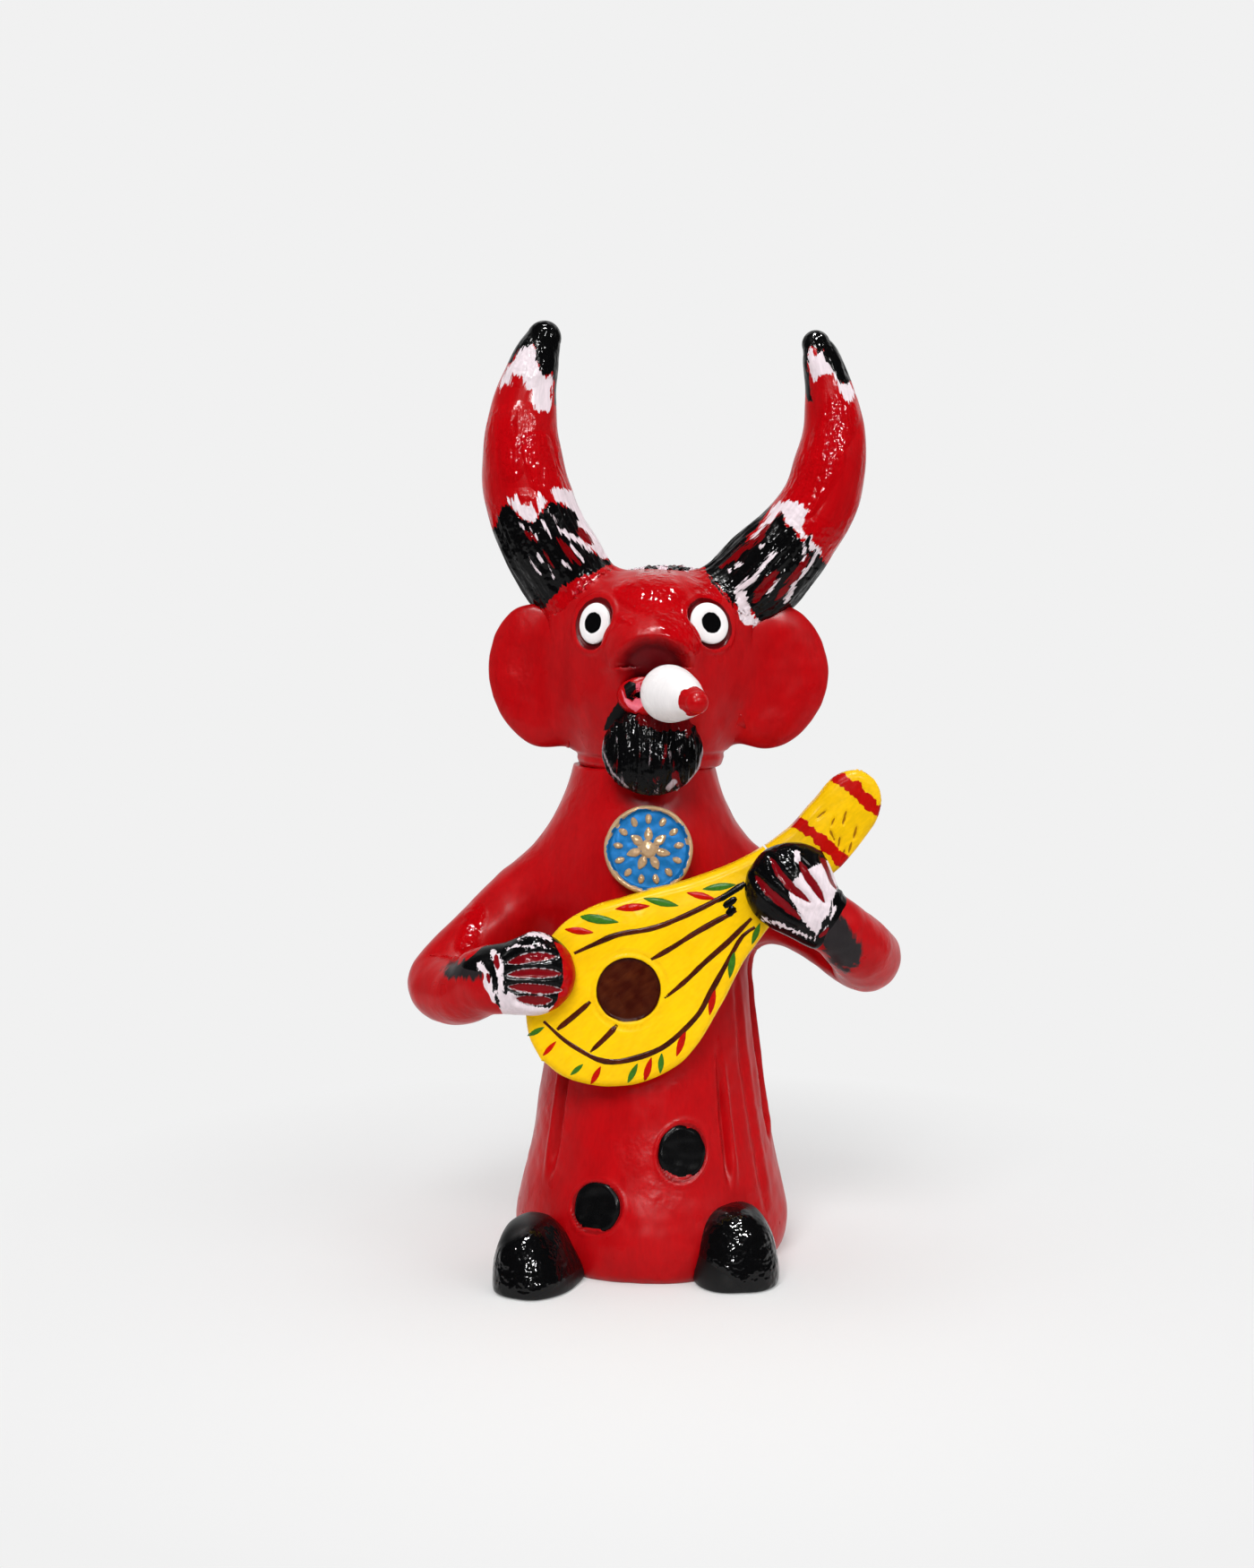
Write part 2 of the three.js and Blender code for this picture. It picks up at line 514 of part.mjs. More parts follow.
const pieces = {
  robe: [cut(robe(), button(BUTTON_UPPER, SLIP_GAP), buttonLowerFit), RED],
  head: [cut(head(), eyeLeftFit, eyeRightFit), RED],
  snout: [cut(pad(SNOUT), headFit, pad(THUMB)), RED],
  lip: [cut(lip(), headFit, snoutFit), RED],
  cigar: [cut(roll(CIGAR_LINE), headFit, snoutFit, lipFit), WHITE],
  beard: [cut(pad(BEARD), headFit, robeFit, lipFit, cigarFit), BLACK],
  left_ear: [cut(pad(EAR_LEFT), headFit), RED],
  right_ear: [cut(pad(EAR_RIGHT), headFit), RED],
  left_eye: [eye(EYE_LEFT), WHITE],
  right_eye: [eye(EYE_RIGHT), WHITE],
  left_horn: [cut(roll(HORN_LEFT_LINE, 0, HORN_ROWS), headFit, earLeftFit, eyeLeftFit), RED],
  right_horn: [cut(roll(HORN_RIGHT_LINE, 0, HORN_ROWS), headFit, earRightFit, eyeRightFit), RED],
  hair: [cut(hair(), headFit, hornLeftFit, hornRightFit), BLACK],
  medallion: [cut(medallion(), robeFit, luteFit, beardFit), BRONZE],
  left_arm: [cut(arm(ARM_LEFT), robeFit), RED],
  right_arm: [cut(arm(ARM_RIGHT), robeFit), RED],
  left_hand: [cut(pad(HAND_LEFT), robeFit, armLeftFit, luteFit), BLACK],
  right_hand: [cut(pad(HAND_RIGHT), robeFit, armRightFit, luteFit), BLACK],
  lute_body: [cut(luteSlab(), pegHeadSide, robeFit, armLeftFit, armRightFit, soundHole()), YELLOW],
  lute_head: [cut(luteSlab(), bodySide, robeFit, armRightFit), YELLOW],
  button_upper: [button(BUTTON_UPPER), BLACK],
  button_lower: [button(BUTTON_LOWER), BLACK],
  left_foot: [cut(hoof(FOOT_LEFT), robeFit, ground, buttonLowerFit), BLACK],
  right_foot: [cut(hoof(FOOT_RIGHT), robeFit, ground), BLACK],
};

const figure = new THREE.Group();
figure.name = "clay_devil_figurine";
for (const [name, [solid, colour]] of Object.entries(pieces)) {
  const material = new THREE.MeshStandardMaterial({ color: colour, roughness: VARNISH_ROUGHNESS });
  const mesh = new THREE.Mesh(geometryOf(solid), material);
  mesh.name = name;
  mesh.position.y = FIGURE_SHIFT_Y;
  figure.add(mesh);
}

export default figure;
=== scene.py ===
# %% [markdown]
# # A painted clay devil with a lute
# A folk figure the length of a hand: pieces of soft clay were rolled, pressed, joined and fired, then
# painted with a brush under thick glossy varnish. This lesson makes the finished surfaces of the packed
# model. Each piece keeps its place and size, and gets the worked skin, the pressed marks and the
# brushwork of the photograph. Lengths are millimetres until a piece becomes a mesh.

# %% Load the packed model
import math
from collections import namedtuple

import bmesh
import bpy
import numpy as np
from mathutils import Euler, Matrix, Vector, noise
from mathutils.bvhtree import BVHTree


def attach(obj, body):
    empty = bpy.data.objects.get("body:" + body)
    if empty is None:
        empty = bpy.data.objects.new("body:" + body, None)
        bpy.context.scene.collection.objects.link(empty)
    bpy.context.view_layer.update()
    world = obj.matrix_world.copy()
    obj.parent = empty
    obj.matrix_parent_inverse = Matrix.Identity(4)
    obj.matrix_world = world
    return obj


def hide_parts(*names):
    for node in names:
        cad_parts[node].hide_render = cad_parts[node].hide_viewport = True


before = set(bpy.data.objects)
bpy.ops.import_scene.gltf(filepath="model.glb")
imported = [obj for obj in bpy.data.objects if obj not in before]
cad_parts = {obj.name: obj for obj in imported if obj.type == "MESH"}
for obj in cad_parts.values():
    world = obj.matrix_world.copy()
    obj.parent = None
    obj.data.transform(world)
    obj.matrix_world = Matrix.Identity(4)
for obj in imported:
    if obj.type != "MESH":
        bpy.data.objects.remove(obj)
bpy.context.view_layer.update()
MM = 0.001
FIGURE_BACK = 6.2  # from the frame of the sizes below to the model's
print("pieces in the model:", len(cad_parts))

# %% [markdown]
# ## The camera
# The photograph was taken straight at the front, from a little above the middle. The camera comes first,
# because brush marks that only the photograph shows are written as pixels, and the same few numbers turn
# pixels into places on the clay. A stroke is found once, and then stays there like any other paint.

# %% Camera at the photograph's angle
PHOTO_WIDE, PHOTO_HIGH = 1400, 1750
PHOTO_FOCAL = 2425.4  # pixels
CAMERA_AT = np.array([-4.9, -420.0, 135.0])
CAMERA_DOWN = math.radians(5.96)
SENSOR = 36.0
PIXEL = 0.165  # of clay on the front of the figure

camera = bpy.data.objects.new("camera", bpy.data.cameras.new("camera"))
camera.data.sensor_width = SENSOR
camera.data.lens = PHOTO_FOCAL * SENSOR / PHOTO_HIGH
camera.location = Vector(CAMERA_AT + [0, FIGURE_BACK, 0]) * MM
camera.rotation_euler = (math.pi / 2 - CAMERA_DOWN, 0, 0)
bpy.context.scene.collection.objects.link(camera)
bpy.context.scene.camera = camera


def pixels(points):
    """Where points of the figure fall on the photograph."""
    x, y, z = (np.asarray(points, float) - CAMERA_AT).T
    depth = y * math.cos(CAMERA_DOWN) - z * math.sin(CAMERA_DOWN)
    up = y * math.sin(CAMERA_DOWN) + z * math.cos(CAMERA_DOWN)
    across = PHOTO_WIDE / 2 + PHOTO_FOCAL * x / depth
    return np.column_stack([across, PHOTO_HIGH / 2 - PHOTO_FOCAL * up / depth])


print("lens of the camera:", round(camera.data.lens, 2), "mm")

# %% [markdown]
# ## Clay in the hand
# A form is a closed skin of triangles. Rolls and bells are lofts, which are rings of points joined in rows;
# pads are balls of even triangles, squeezed. Both are dense enough to be worked: pushing points along the
# way that their skin faces is what a thumb or a modelling tool does.

# %% Forms, lofts and pads
TINY = 1e-12  # keeps a division away from zero
CURVE_STEPS = 40  # fine steps between two points of a curve
CAP_ROWS, CAP_START = 14, 0.04  # rings on a roll's round end, and radians to the first


class Form:
    """A closed skin of clay, with values painted on its points."""

    def __init__(self, points, faces):
        self.points = points
        a, b, c = points[faces].transpose(1, 0, 2)
        inside_out = np.einsum("ij,ij", a, np.cross(b, c)) < 0
        self.faces = faces[:, ::-1] if inside_out else faces
        self.values = {}
        self.local = points
        self.skin = None

    def normals(self):
        a, b, c = self.points[self.faces].transpose(1, 0, 2)
        across = np.cross(b - a, c - a)
        total = np.zeros_like(self.points)
        for corner in range(3):
            for axis in range(3):
                total[:, axis] += np.bincount(self.faces[:, corner], across[:, axis], len(self.points))
        return total / np.maximum(np.linalg.norm(total, axis=1, keepdims=True), TINY)

    def push(self, amount):
        """Moves points out of the skin, or into it below 0."""
        self.points = self.points + self.normals() * np.asarray(amount)[:, None]

    def roughen(self, high, wide, seed):
        self.push(high * lumps(self.points, wide, seed))

    def keep_skin(self):
        """Remembers the skin for gaps and smears."""
        self.skin = BVHTree.FromPolygons(self.points.tolist(), self.faces.tolist())


def loft(rings, closed=False):
    """Joins rings of points in rows. An open loft gets a pole at each end."""
    rows, sides, _ = rings.shape
    row = np.arange(rows if closed else rows - 1)[:, None]
    side = np.arange(sides)[None, :]
    after = (row + 1) % rows
    beside = (side + 1) % sides
    a, b = row * sides + side, row * sides + beside
    c, d = after * sides + beside, after * sides + side
    faces = [np.stack([a, b, c], -1).reshape(-1, 3), np.stack([a, c, d], -1).reshape(-1, 3)]
    points = rings.reshape(-1, 3)
    if not closed:
        first, last = len(points), len(points) + 1
        points = np.vstack([points, rings[0].mean(0), rings[-1].mean(0)])
        start, end = side[0], (rows - 1) * sides + side[0]
        faces.append(np.stack([np.full(sides, first), np.roll(start, -1), start], -1))
        faces.append(np.stack([np.full(sides, last), end, np.roll(end, -1)], -1))
    return Form(points, np.vstack(faces))


def curve(points, count):
    """Even samples of a smooth line through a few points."""
    points = np.asarray(points, float)
    padded = np.vstack([2 * points[0] - points[1], points, 2 * points[-1] - points[-2]])
    t = np.linspace(0, 1, CURVE_STEPS, endpoint=False)[:, None]
    spans = []
    for a, b, c, d in zip(padded, padded[1:], padded[2:], padded[3:]):
        bend = (2 * a - 5 * b + 4 * c - d) * t**2 + (3 * b - a - 3 * c + d) * t**3
        spans.append(0.5 * (2 * b + (c - a) * t + bend))
    fine = np.vstack(spans + [points[-1:]])
    along = np.r_[0, np.cumsum(np.linalg.norm(np.diff(fine[:, :3], axis=0), axis=1))]
    even = np.linspace(0, along[-1], count)
    return np.column_stack([np.interp(even, along, column) for column in fine.T])


def roll(line, rows, sides):
    """A roll of clay along points of (x, y, z, radius), round at both ends."""
    samples = curve(line, rows)
    middle, radius = samples[:, :3], samples[:, 3]
    tangent = np.gradient(middle, axis=0)
    tangent /= np.linalg.norm(tangent, axis=1, keepdims=True)
    quarter = np.linspace(CAP_START, math.pi / 2, CAP_ROWS, endpoint=False)
    first_cap = [middle[0] - tangent[0] * radius[0] * math.cos(angle) for angle in quarter]
    last_cap = [middle[-1] + tangent[-1] * radius[-1] * math.cos(angle) for angle in quarter[::-1]]
    centres = first_cap + list(middle) + last_cap
    reach = np.r_[radius[0] * np.sin(quarter), radius, radius[-1] * np.sin(quarter[::-1])]
    ways = np.vstack([np.repeat(tangent[:1], CAP_ROWS, 0), tangent, np.repeat(tangent[-1:], CAP_ROWS, 0)])
    front = np.array([0.0, -1.0, 0.0])
    turn = np.linspace(0, 2 * math.pi, sides, endpoint=False)
    rings = []
    for centre, size, way in zip(centres, reach, ways):
        front = front - way * (front @ way)
        front = front / np.linalg.norm(front)
        side = np.cross(way, front)
        rings.append(centre + size * (np.cos(turn)[:, None] * front + np.sin(turn)[:, None] * side))
    form = loft(np.array(rings))
    along = np.r_[0, np.cumsum(np.linalg.norm(np.diff(centres, axis=0), axis=1))] - radius[0]
    form.along = np.r_[np.repeat(along, sides), along[0], along[-1]]
    form.turn = np.r_[np.tile(turn, len(centres)), 0, 0]
    form.reach = np.r_[np.repeat(reach, sides), 0, 0]
    return form


def pad(at, half, turn=(0, 0, 0), steps=6):
    """A ball of clay squeezed to three half sizes and turned, in degrees."""
    ball = bmesh.new()
    bmesh.ops.create_icosphere(ball, subdivisions=steps, radius=1)
    unit = np.array([vertex.co for vertex in ball.verts])
    faces = np.array([[vertex.index for vertex in face.verts] for face in ball.faces])
    ball.free()
    form = Form(unit * half, faces)
    form.pose = np.array(Euler([math.radians(angle) for angle in turn], "ZYX").to_matrix())
    form.points = form.local @ form.pose.T + at
    return form


print("rings on the round end of a roll:", CAP_ROWS)

# %% [markdown]
# ## Working the clay
# Lumps are the unevenness that fingers leave. A gap is how far points are from another form. Smearing pulls
# the skins of two joined forms out to one rounded surface, as a wet thumb does, and tucks what is hidden
# below it. A boolean join would give one solid with a sharp crease, and the pieces have to stay separate.

# %% Lumps, gaps and smears
SEED_STEP = 7.31  # how far apart the noise of two seeds is taken
TOUCHING = 1e-3  # nearer, a point is on the skin
OPPOSED = 0.2  # least share of the way out, where skins face each other
SMEAR_PASSES = 3


def smooth(value, low, high):
    """Goes from 0 at low to 1 at high without a corner."""
    t = np.clip((np.asarray(value, float) - low) / (high - low), 0, 1)
    return t * t * (3 - 2 * t)


def ridge(value, middle, width):
    """1 at the middle, and close to 0 two widths away."""
    return np.exp(-(((value - middle) / width) ** 2))


def lumps(points, size, seed):
    """Smooth noise between about -1 and 1, with lumps of a given width."""
    moved = np.asarray(points) / size + seed * SEED_STEP
    return np.array([noise.noise(Vector(place)) for place in moved])


def gap(points, form):
    """How far points are outside a form's kept skin, and the way out of it."""
    near = [form.skin.find_nearest(place)[:2] for place in points.tolist()]
    spot = np.array([found[0] for found in near])
    normal = np.array([found[1] for found in near])
    away = points - spot
    far = np.linalg.norm(away, axis=1)
    side = np.where(np.einsum("ij,ij->i", away, normal) < 0, -1.0, 1.0)
    straight = away * (side / np.maximum(far, TOUCHING))[:, None]
    return far * side, np.where(far[:, None] > TOUCHING, straight, normal)


def around(points, form, margin):
    """Which points lie in a form's box, grown by a margin."""
    low, high = form.points.min(0) - margin, form.points.max(0) + margin
    return np.all((points > low) & (points < high), axis=1)


def smear(form, softness, *neighbours):
    """Works a form's skin into its neighbours' kept skins."""
    for neighbour in neighbours:
        chosen = np.flatnonzero(around(form.points, neighbour, softness))
        if not len(chosen):
            continue
        first_gap, _ = gap(form.points[chosen], neighbour)
        chosen = chosen[np.abs(first_gap) < softness]
        moved = form.points[chosen]
        for _ in range(SMEAR_PASSES):
            own, own_way = gap(moved, form)
            other, other_way = gap(moved, neighbour)
            share = np.clip(0.5 + 0.5 * (other - own) / softness, 0, 1)
            joined = other * (1 - share) + own * share - softness * share * (1 - share)
            way = other_way * (1 - share)[:, None] + own_way * share[:, None]
            tuck = np.clip(own - other, 0, softness) ** 2 / softness
            moved = moved - way * ((joined + tuck) / np.maximum((way**2).sum(1), OPPOSED))[:, None]
        form.points[chosen] = moved


print("halfway up a soft step:", float(smooth(0.5, 0, 1)))

# %% [markdown]
# ## Marks drawn on the photograph
# Brush marks, tool marks and spots of thick varnish have shapes that no rule gives. Each is drawn as a line
# or an outline of pixels, and every point of the clay measures how far it lies inside. So one drawing can
# press a groove, carry a paint and tear its edge.

# %% Strokes, patches and crinkles
OUTSIDE = -9.0  # stands for a place that no mark reaches
FACING = 0.2  # a skin that leans further back isn't seen
CRINKLE_EDGE = (-0.5, 1.2)  # where the varnish begins to crinkle


def to_line(spots, line):
    """Distance from flat spots to a line, and the share of the line at that place."""
    line = np.asarray(line, float)
    best, share = np.full(len(spots), np.inf), np.zeros(len(spots))
    lengths = np.linalg.norm(np.diff(line, axis=0), axis=1)
    before = np.r_[0, np.cumsum(lengths)]
    for i, (a, b) in enumerate(zip(line, line[1:])):
        t = np.clip((spots - a) @ (b - a) / max(lengths[i] ** 2, TINY), 0, 1)
        far = np.linalg.norm(spots - a - t[:, None] * (b - a), axis=1)
        nearer = far < best
        best[nearer] = far[nearer]
        share[nearer] = (before[i] + t[nearer] * lengths[i]) / before[-1]
    return best, share


def nowhere(form):
    """The field of a mark that no point of a form is in."""
    return np.full(len(form.points), OUTSIDE)


def in_front(form, inside):
    """Keeps the field of a mark to the skin that faces the front."""
    return np.where(form.normals()[:, 1] < FACING, inside, OUTSIDE)


def stroke(form, line, width, pointed=0.0):
    """How far points are inside a brush mark along pixels; below 0 is outside."""
    far, share = to_line(pixels(form.points), line)
    half = width / 2 * (1 - pointed * np.abs(2 * share - 1) ** 3)
    return in_front(form, (half - far) * PIXEL)


def strokes(form, marks, pointed=0.0):
    """The deepest of several marks: a line, a width and perhaps how pointed it is."""
    fields = []
    for line, width, *own in marks:
        fields.append(stroke(form, line, width, own[0] if own else pointed))
    return np.max(fields, axis=0)


def patch(form, outline):
    """How far points are inside an outline of pixels on the front of the figure."""
    spots = pixels(form.points)
    corners = np.asarray(outline, float)
    inside = np.zeros(len(spots), bool)
    for (ax, ay), (bx, by) in zip(corners, np.roll(corners, -1, 0)):
        crosses = (ay > spots[:, 1]) != (by > spots[:, 1])
        rise = by - ay if by != ay else TINY
        inside ^= crosses & (spots[:, 0] < ax + (spots[:, 1] - ay) / rise * (bx - ax))
    far, _ = to_line(spots, np.vstack([corners, corners[:1]]))
    return in_front(form, np.where(inside, far, -far) * PIXEL)


def crinkle(form, marks):
    """Marks where the varnish is crinkled, with broad strokes."""
    form.values["crinkle"] = smooth(strokes(form, marks), *CRINKLE_EDGE)


print("ten pixels are", 10 * PIXEL, "mm of clay")

# %% [markdown]
# ## Brush paint
# Every surface is thick gloss paint from a small brush, over clay, under varnish, so one function mixes all
# the paints: a ground with brushed streaks, then layers whose edges were measured on the points and are
# torn by noise that is stretched along the brush. Each layer goes into the bump too, so that its edge
# catches light.

# %% Colours
Layer = namedtuple("Layer", "field colour torn grain edge line", defaults=(0.25, 1.0, 0.06, 0.0))
BRUSH = "brush"


def colour(red, green, blue):
    """A colour from 0 to 255, in the linear values that shaders use."""
    parts = np.array([red, green, blue]) / 255
    linear = np.where(parts <= 0.04045, parts / 12.92, ((parts + 0.055) / 1.055) ** 2.4)
    return (*linear, 1.0)


def shade(tone, share):
    return (*(min(part * share, 1.0) for part in tone[:3]), 1.0)


RED = colour(178, 5, 12)
# a darker red for painted shade in the groove round each button
SEAT_SHADE_RED = colour(150, 6, 12)
STRIP_RED = colour(120, 5, 11)
CUT_RED = colour(122, 8, 18)
DARK_RED = colour(98, 5, 10)
# a darker red for painted shade in the thumb hollow
HOLLOW_SHADE_RED = colour(96, 3, 10)
# a darker red for painted shade in the groove round each eye
RING_SHADE_RED = colour(92, 5, 9)
BAND_RED = colour(186, 14, 8)
LEAF_RED = colour(190, 16, 4)
LEAF_GREEN = colour(58, 114, 32)
LIP_PINK = colour(226, 104, 122)
BLACK = colour(9, 9, 10)
WORN_BLACK = colour(40, 36, 38)
WHITE = colour(240, 236, 236)
PINK_WHITE = colour(228, 205, 213)
HORN_WHITE = colour(234, 220, 226)
YELLOW = colour(253, 199, 10)
NICK_YELLOW = colour(160, 104, 8)
BROWN = colour(58, 14, 5)
WORN_BROWN = colour(80, 33, 13)
LINE_BROWN = colour(76, 26, 8)
BRONZE = colour(190, 158, 122)
BLUE = colour(22, 104, 166)
print("the red in a shader:", np.round(RED[:3], 4))

# %% A desk for nodes
MIX_SHARE, MIX_FIRST, MIX_SECOND, MIX_RESULT = 0, 6, 7, 2  # the colour sockets of a Mix node


class Desk:
    """Adds nodes to a tree and joins them in the order they are written."""

    def __init__(self, tree):
        self.tree = tree

    def add(self, kind, sockets=None, **settings):
        node = self.tree.nodes.new(kind)
        for name, value in settings.items():
            setattr(node, name, value)
        for name, value in (sockets or {}).items():
            if isinstance(value, bpy.types.NodeSocket):
                self.tree.links.new(value, node.inputs[name])
            else:
                node.inputs[name].default_value = value
        return node

    def result(self, kind, sockets=None, **settings):
        return self.add(kind, sockets, **settings).outputs[0]

    def math(self, operation, first, second=0.0):
        return self.result("ShaderNodeMath", {0: first, 1: second}, operation=operation)

    def noise(self, where, size, detail=2.0):
        return self.result("ShaderNodeTexNoise", {"Vector": where, "Scale": 1 / size, "Detail": detail})

    def spread(self, value, low, high, start=0.0, end=1.0):
        return self.result("ShaderNodeMapRange", {0: value, 1: low, 2: high, 3: start, 4: end})

    def blend(self, share, first, second):
        sockets = {MIX_SHARE: share, MIX_FIRST: first, MIX_SECOND: second}
        return self.add("ShaderNodeMix", sockets, data_type="RGBA").outputs[MIX_RESULT]

    def vector(self, **parts):
        return self.result("ShaderNodeCombineXYZ", parts)

    def painted_value(self, name, socket="Fac"):
        return self.add("ShaderNodeAttribute", attribute_name=name).outputs[socket]

    def point_value(self, name):
        return self.result("GeometryNodeInputNamedAttribute", {"Name": name}, data_type="FLOAT")


print("a desk can", ", ".join(name for name in vars(Desk) if not name.startswith("_")))

# %% [markdown]
# ## Varnish
# The varnish dried unevenly. Most of it is calm, patches are a little wrinkled, and where it pooled it
# crinkled, which breaks a highlight into a crowd of sparks. On horns and beard the crinkles were dragged
# along by the brush. All of this is bump and roughness.

# %% Paint with layers under varnish
SHINE, RED_SHINE, HORN_SHINE, HOOF_SHINE = 0.1, 0.11, 0.12, 0.24  # levels of the mirror reflection
FLAT_SHINE = 0.06  # where the varnish has worn off
FINE_BRUSH, BROAD_BRUSH = 0.55, 3.5  # width of streaks, in mm
STREAK, COAT = 0.012, 0.03  # height of streaks and thickness of a layer, in mm
COAT_TONES = (0.86, 1.08)  # from the thinnest to the thickest spot of a layer
LIGHTER_SHARE = 0.6  # how much lighter than darker a mottled ground gets
TINT_RANGE = (0.75, 1.3)  # what the two noises of the streaks add up to
TEAR_RANGE = (0.25, 0.75)  # what the noise of torn edges runs through
FINE_DETAIL = 3.0
CRINKLE = 0.32  # height of crinkled varnish, in mm
PEBBLE = 0.0014  # width of a crinkle, in metres
DRAGGED = 1.1  # width of a crinkle that follows the brush, in mm
CRINKLE_GLOSS = 0.09  # roughness of crinkled varnish
CRINKLE_FULL = 0.8  # share of crinkling that has all of it
WRINKLED_WIDE, DULL_WIDE = 0.012, 0.006  # patches of both, in metres
WRINKLED_EDGE = 0.12  # how softly a wrinkled patch begins
CALM_WRINKLE = 0.06  # share of wrinkles between the patches
DULL_RANGE, DULL_STEP = (0.3, 0.7), (-0.03, 0.05)  # their noise, and what it does to roughness


def brushwork(desk, brush, ground, layers, mottle):
    """The tone and the height of a brushed ground with torn layers over it."""
    fine = desk.noise(brush, FINE_BRUSH, FINE_DETAIL)
    tint = desk.spread(desk.math("ADD", fine, desk.noise(brush, BROAD_BRUSH)), *TINT_RANGE)
    tone = desk.blend(tint, shade(ground, 1 - mottle), shade(ground, 1 + LIGHTER_SHARE * mottle))
    height = desk.math("MULTIPLY", fine, STREAK)
    thin, thick = COAT_TONES
    for layer in layers:
        field = desk.painted_value(layer.field)
        if layer.line:
            field = desk.math("SUBTRACT", layer.line, desk.math("ABSOLUTE", field))
        grain = desk.noise(brush, layer.grain, FINE_DETAIL)
        torn = desk.spread(grain, *TEAR_RANGE, -layer.torn, layer.torn)
        cover = desk.spread(desk.math("ADD", field, torn), -layer.edge, layer.edge)
        coat = desk.blend(tint, shade(layer.colour, thin), shade(layer.colour, thick))
        tone = desk.blend(cover, tone, coat)
        height = desk.math("ADD", height, desk.math("MULTIPLY", cover, COAT))
    return tone, height


def varnish(desk, brush, height, gloss, wrinkle, calm, dragged):
    """The roughness and the bump of varnish over the height of the paint."""
    place = desk.add("ShaderNodeTexCoord").outputs["Object"]
    patches = desk.noise(place, WRINKLED_WIDE, 1.0)
    thick = desk.spread(patches, calm, calm + WRINKLED_EDGE, CALM_WRINKLE * wrinkle, wrinkle)
    crinkled = desk.painted_value("crinkle")
    thick = desk.math("MAXIMUM", thick, desk.math("MULTIPLY", crinkled, CRINKLE))
    pebbles = desk.noise(place, PEBBLE, 1.0)
    if dragged:
        pebbles = desk.math("ADD", pebbles, desk.noise(brush, DRAGGED, 1.0))
    height = desk.math("ADD", height, desk.math("MULTIPLY", pebbles, thick))
    bump = desk.add("ShaderNodeBump", {"Height": height, "Distance": MM, "Strength": 1.0})
    glossiest, dullest = (gloss + step for step in DULL_STEP)
    dull = desk.spread(desk.noise(place, DULL_WIDE), *DULL_RANGE, glossiest, dullest)
    rough = desk.spread(crinkled, 0.0, CRINKLE_FULL, dull, CRINKLE_GLOSS)
    return rough, bump.outputs["Normal"]


def painted(
    name, ground, layers=(), gloss=0.26, mottle=0.12, wrinkle=0.12, calm=0.5,
    metal=0.0, shine=SHINE, dragged=False,
):
    """Mixes a paint. Mottle is uneven colour, and less calm is more wrinkled varnish."""
    material = bpy.data.materials.new(name)
    material.use_nodes = True
    desk = Desk(material.node_tree)
    shader = material.node_tree.nodes["Principled BSDF"]
    brush = desk.painted_value(BRUSH, "Vector")
    tone, height = brushwork(desk, brush, ground, layers, mottle)
    rough, bumped = varnish(desk, brush, height, gloss, wrinkle, calm, dragged)
    for socket, value in (("Base Color", tone), ("Roughness", rough), ("Normal", bumped)):
        desk.tree.links.new(value, shader.inputs[socket])
    shader.inputs["Metallic"].default_value = metal
    shader.inputs["Specular IOR Level"].default_value = shine
    return material


print("crinkles are", PEBBLE / MM, "mm wide and", CRINKLE, "mm high")

# %% [markdown]
# ## From clay to pieces
# A finished form becomes a mesh in metres, with its painted values as attributes that the materials read.
# Every object stays at the origin with its place in its mesh, so that a pattern keeps its place on the clay.
# The piece is named after the solid of the model that it stands for, and that solid is hidden.

# %% Meshes, values and pieces
BRUSH_SQUEEZE = 0.3  # stretches the brush's pattern along Z


def dress(mesh, values):
    """Writes the values of points on a mesh, for the paint."""
    for name, numbers in values.items():
        single = numbers.ndim == 1
        attribute = mesh.attributes.new(name, "FLOAT" if single else "FLOAT_VECTOR", "POINT")
        attribute.data.foreach_set("value" if single else "vector", np.ravel(numbers).astype(np.float32))
    mesh.shade_smooth()


def stand(mesh, node=None):
    """Puts a mesh in the scene as a piece, which may stand for a node of the model."""
    piece = bpy.data.objects.new(mesh.name, mesh)
    bpy.context.scene.collection.objects.link(piece)
    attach(piece, "root")
    if node:
        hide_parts(node)
    print(mesh.name, sum(len(face.vertices) - 2 for face in mesh.polygons), "triangles")


def to_metres(points):
    return (points + [0, FIGURE_BACK, 0]) * MM


def shape(node, form, material):
    """Makes a piece of a finished form, which stands for a node."""
    if BRUSH not in form.values:
        form.values[BRUSH] = form.points * [1, 1, BRUSH_SQUEEZE]
    mesh = bpy.data.meshes.new(node + "_painted")
    mesh.from_pydata(to_metres(form.points).tolist(), [], form.faces.tolist())
    mesh.materials.append(material)
    dress(mesh, form.values)
    stand(mesh, node)


print("nodes to stand for:", ", ".join(sorted(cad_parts)))

# %% [markdown]
# ## The robe
# The body is a hollow bell of clay. A slab was wrapped round, the front was left smooth, and folds were
# pressed into the sides with a stick. A bell is a profile turned about a line, so it is a loft, with more
# points on the front, where the eye looks. A fold is a groove with a raised lip, because pressed clay has
# to go somewhere.

# %% The bell and its pressed folds
ROBE_OUTLINE = [
    (24.6, 0), (25.9, 1.6), (26.7, 5), (26.6, 8), (25.5, 13.5), (24.1, 19.5), (22.6, 28), (21.1, 38),
    (19.7, 50), (18.7, 62), (18.3, 72), (17.8, 80), (16.5, 86), (14.6, 91.5), (13.6, 95),
]
ROBE_NECK = [(13.1, 95.1), (10, 95), (7.1, 94.6), (7.1, 90)]
ROBE_HOLLOW = [(7.1, 86), (11, 82), (12.6, 73), (13.6, 58), (15.9, 38), (18.6, 18), (19.6, 6), (19, 0)]
ROBE_LEAN = -1.7
ROBE_LEAN_FROM, ROBE_LEAN_TO = 52, 82  # heights
ROBE_DEEPER, ROBE_DEEPER_TO = 0.06, 40  # added share at the foot, and a height
Fold = namedtuple("Fold", "angle depth width low high lip")  # degrees, mm, degrees, heights, side of its lip
